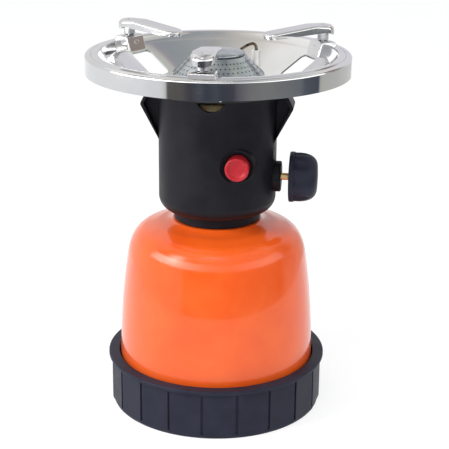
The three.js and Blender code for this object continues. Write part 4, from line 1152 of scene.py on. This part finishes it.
# %% Finishes for the pieces that stay
for node, obj in frame["nodes"].items():
    if not obj.hide_render:
        obj.data.materials.clear()
        obj.data.materials.append(FINISHES[SLOTS[node]])
        print("kept as it is:", node)

# %% [markdown]
# ## The studio
#
# The photograph shows the stove on pure white. A polished dish is only as good as what it
# mirrors, so a pale floor under a white surround is only the start. Soft lamps light the paint
# and the plastic, a narrow one reaches the bowl, and cards that only reflections can see stand
# for the rest of the room: a dark front, which draws the dish's band, a tall window above it,
# greyer cards above and behind, and a ceiling.

# %% White for what the camera and the mirrors see, softer for the light itself
SURROUND_TINT, SURROUND_LIGHT = (0.95, 0.97, 1, 1), 0.70


def seen_directly(tree):
    """1 for rays that show a surround as it is: to the camera, off a mirror or through glass."""
    path = add_node(tree, "LightPath").outputs
    seen = math_node(tree, "MAXIMUM", path["Is Camera Ray"], path["Is Glossy Ray"])
    return math_node(tree, "MAXIMUM", seen, path["Is Transmission Ray"])


def mix_shaders(tree, fac, first, second, end):
    """Sends the first shader, or as fac rises the second, to the tree's output node."""
    mix = add_node(tree, "MixShader")
    for socket, value in zip(mix.inputs, (fac, first.outputs[0], second.outputs[0])):
        feed(tree, socket, value)
    set_inputs(tree, tree.nodes[end], Surface=mix.outputs[0])


scene.world = bpy.data.worlds.new("surround")
scene.world.use_nodes = True
tree = scene.world.node_tree
light = tree.nodes["Background"]
set_inputs(tree, light, Color=SURROUND_TINT, Strength=SURROUND_LIGHT)
white = add_node(tree, "Background", Color=(1, 1, 1, 1), Strength=1)
mix_shaders(tree, seen_directly(tree), light, white, "World Output")

# %% The floor
FLOOR_GREY, FLOOR_REACH = (0.92, 0.92, 0.92, 1), 6
FLOOR_SHADOW, FLOOR_GLOW = 0.35, 1.15


def level_sheet(reach):
    bm = bmesh.new()
    bmesh.ops.create_grid(bm, x_segments=1, y_segments=1, size=reach)
    return bm


material, tree, shader = new_finish("pale floor", Base_Color=FLOOR_GREY, Roughness=0.8)
glow = add_node(tree, "Emission", Strength=FLOOR_GLOW)
shown = math_node(tree, "MULTIPLY", seen_directly(tree), 1 - FLOOR_SHADOW)
mix_shaders(tree, shown, shader, glow, "Material Output")
add_object(level_sheet(FLOOR_REACH), "floor", material)

# %% A glowing card with tones along it. A single number stands for a grey
def glow_card(name, bm, tones, source):
    """A card whose own light runs through tones. source gives the place along them, 0 to 1."""
    material, tree, shader = new_finish(name)
    tree.nodes.remove(shader)
    ramp = add_node(tree, "ValToRGB")
    feed(tree, ramp.inputs[0], source(tree))
    first, span = tones[0][0], tones[-1][0] - tones[0][0]
    stops = ramp.color_ramp.elements
    for place, tone in tones[1:-1]:
        stops.new((place - first) / span)
    for stop, (place, tone) in zip(stops, tones):
        stop.position = (place - first) / span
        stop.color = (*tone, 1) if isinstance(tone, tuple) else (tone, tone, tone, 1)
    glow = add_node(tree, "Emission", Color=ramp.outputs[0])
    set_inputs(tree, tree.nodes["Material Output"], Surface=glow.outputs[0])
    card = add_object(bm, name, material)
    card.visible_camera = card.visible_diffuse = False
    card.visible_shadow = card.visible_transmission = False


def first_place(tree, kind):
    """The first of the three numbers of a place."""
    return add_node(tree, "SeparateXYZ", Vector=place_node(tree, kind)).outputs[0]


# %% The room in front: its tones by bearing from the camera, the image's left being negative
ROOM_RADIUS, ROOM_HEIGHT, ROOM_STEPS = 0.35, 0.15, 150
CAMERA_TURN = 7
CAMERA_BEARING = math.radians(CAMERA_TURN - 90)
ROOM = (
    (-150, (0.92, 0.93, 0.94)), (-90, (0.86, 0.86, 0.87)), (-60, (0.80, 0.82, 0.84)),
    (-44, (0.76, 0.77, 0.78)), (-40, 0.62), (-39, (0.115, 0.108, 0.10)),
    (-27, (0.10, 0.095, 0.095)), (-21, (0.052, 0.052, 0.062)), (-14, (0.07, 0.08, 0.10)),
    (-8, (0.042, 0.048, 0.062)), (-2, (0.062, 0.072, 0.092)), (4, (0.046, 0.052, 0.068)),
    (11, (0.055, 0.054, 0.072)), (16, (0.125, 0.12, 0.145)), (24, (0.175, 0.175, 0.18)),
    (36, (0.195, 0.20, 0.20)), (52, (0.18, 0.19, 0.20)), (66, (0.15, 0.165, 0.18)),
    (71, (0.088, 0.10, 0.125)), (80, (0.078, 0.088, 0.11)), (86, (0.065, 0.075, 0.10)),
    (87, (0.46, 0.47, 0.44)), (110, (0.50, 0.50, 0.49)), (150, 0.66),
)

# %% The tall window above it, which shows on the bell's shoulder
WINDOW_FOOT, WINDOW_TOP = 0.155, 0.275
WINDOW = (
    (-92, 3.0), (-76, 7.0), (-56, 7.0), (-40, 4.2), (-14, 1.7), (12, 0.95), (40, 1.7), (70, 2.0),
    (92, 1.6),
)

# %% What stands behind the stove and above the window: greyer, so that level steel isn't white
BEHIND_TOP, ABOVE_TOP = 0.40, 0.60
BEHIND = (
    (92, (0.52, 0.46, 0.42)), (104, (0.26, 0.21, 0.19)), (114, (0.34, 0.30, 0.28)),
    (128, (0.74, 0.74, 0.76)), (160, (0.72, 0.71, 0.76)), (180, (0.68, 0.67, 0.71)),
    (205, 0.76), (240, 0.80), (268, 0.82),
)
ABOVE = (
    (-92, (0.36, 0.34, 0.33)), (-60, (0.44, 0.42, 0.40)), (-20, (0.5, 0.5, 0.52)),
    (20, (0.5, 0.5, 0.52)), (60, (0.62, 0.62, 0.64)), (92, 0.62),
)

# %% The cards round the front
def round_front(name, foot, top, tones):
    """A card round the front, whose tones follow the bearing from the camera."""
    start, end = math.radians(tones[0][0]), math.radians(tones[-1][0])
    bm = bmesh.new()
    ends = [bm.verts.new((ROOM_RADIUS, 0, height)) for height in (foot, top)]
    edge = bm.edges.new(ends)
    along_card = bm.loops.layers.uv.new("along the card")
    spin(bm, [*ends, edge], end - start, ROOM_STEPS)
    for face in bm.faces:
        middle = math.atan2(*face.calc_center_median().yx) % FULL_TURN
        for loop in face.loops:
            bearing = math.atan2(loop.vert.co.y, loop.vert.co.x)
            bearing += FULL_TURN * round((middle - bearing) / FULL_TURN)
            loop[along_card].uv = (bearing / (end - start), 0)
    rotate(bm, CAMERA_BEARING + start)
    glow_card(name, bm, tones, lambda tree: first_place(tree, "UV"))


round_front("room_front", 0, ROOM_HEIGHT, ROOM)
round_front("tall_window", WINDOW_FOOT, WINDOW_TOP, WINDOW)
round_front("above_window", WINDOW_TOP, ABOVE_TOP, ABOVE)
round_front("behind", WINDOW_FOOT, BEHIND_TOP, BEHIND)

# %% The ceiling that the back of the cone mirrors: pale at the sides, grey in the middle
CEILING_HEIGHT, CEILING_REACH = 0.9, 0.75
CEILING = (
    (-0.60, (0.95, 0.95, 0.93)), (-0.36, (0.92, 0.91, 0.89)), (-0.20, (0.70, 0.66, 0.61)),
    (0.0, 0.42), (0.18, (0.33, 0.36, 0.38)), (0.235, (0.34, 0.36, 0.38)),
    (0.255, (0.37, 0.33, 0.38)), (0.275, (0.58, 0.58, 0.54)), (0.45, (0.66, 0.66, 0.61)),
    (0.70, (0.9, 0.91, 0.88)),
)
ceiling = move(level_sheet(CEILING_REACH), (0, CEILING_REACH / 3, CEILING_HEIGHT))
glow_card(
    "ceiling", ceiling, CEILING,
    lambda tree: share_of(tree, first_place(tree, "Object"), CEILING[0][0], CEILING[-1][0]),
)

# %% Lamps: where they stand, how strong they are and where they aim
LAMP_AIM = (0, 0, 0.1)
BOWL_LAMP, BOWL_AIM, BOWL_POWER = (0.035, -0.45, 0.275), (0, -0.029, 0.1605), 5


def add_lamp(name, kind, place, power, aim=LAMP_AIM):
    data = bpy.data.lights.new(name, kind)
    data.energy = power
    lamp = link_object(name, data)
    lamp.location = place
    lamp.rotation_euler = (Vector(aim) - Vector(place)).to_track_quat("-Z", "Y").to_euler()
    return lamp


# %% A narrow lamp through the front notch, for the bowl that the head keeps in the dark
bowl_light = add_lamp("bowl_light", "SPOT", BOWL_LAMP, BOWL_POWER, BOWL_AIM)
bowl_light.data.spot_size = math.radians(2.4)
bowl_light.data.spot_blend = 0.5
bowl_light.data.shadow_soft_size = 0.01
bowl_light.visible_glossy = False

# %% Soft lamps, with their width and height
for name, place, size, power in (
    ("key_left", (-0.75, -0.55, 0.70), (0.30, 0.45), 6),
    ("fill_right", (0.85, -0.35, 0.55), (0.3, 0.5), 0.8),
    ("overhead", (0.0, -0.65, 0.95), (0.7, 0.25), 3),
):
    data = add_lamp(name, "AREA", place, power).data
    data.shape = "RECTANGLE"
    data.size, data.size_y = size

# %% [markdown]
# ## The camera
#
# The camera was fitted to the outlines of the bell, the base and the dish: a long lens, 0.61
# metres off the axis, turned 7 degrees to the knob's side, looking down at 18.6 degrees and
# rolled by 0.4 degree.

# %% The camera
CAMERA_TILT, CAMERA_ROLL = 71.406, 0.442
lens_data = bpy.data.cameras.new("photo_camera")
lens_data.sensor_width = 36
lens_data.lens = 101.88
lens_data.shift_x = 0.0166
lens_data.clip_start, lens_data.clip_end = 0.01, 30
camera = link_object("photo_camera", lens_data)
camera.location = (0.0747, -0.6084, 0.2996)
turn, tilt, roll = [
    Matrix.Rotation(math.radians(angle), 3, axis)
    for angle, axis in ((CAMERA_TURN, "Z"), (CAMERA_TILT, "X"), (CAMERA_ROLL, "Z"))
]
camera.rotation_euler = (turn @ tilt @ roll).to_euler()
scene.camera = camera
scene.view_settings.view_transform = "Standard"
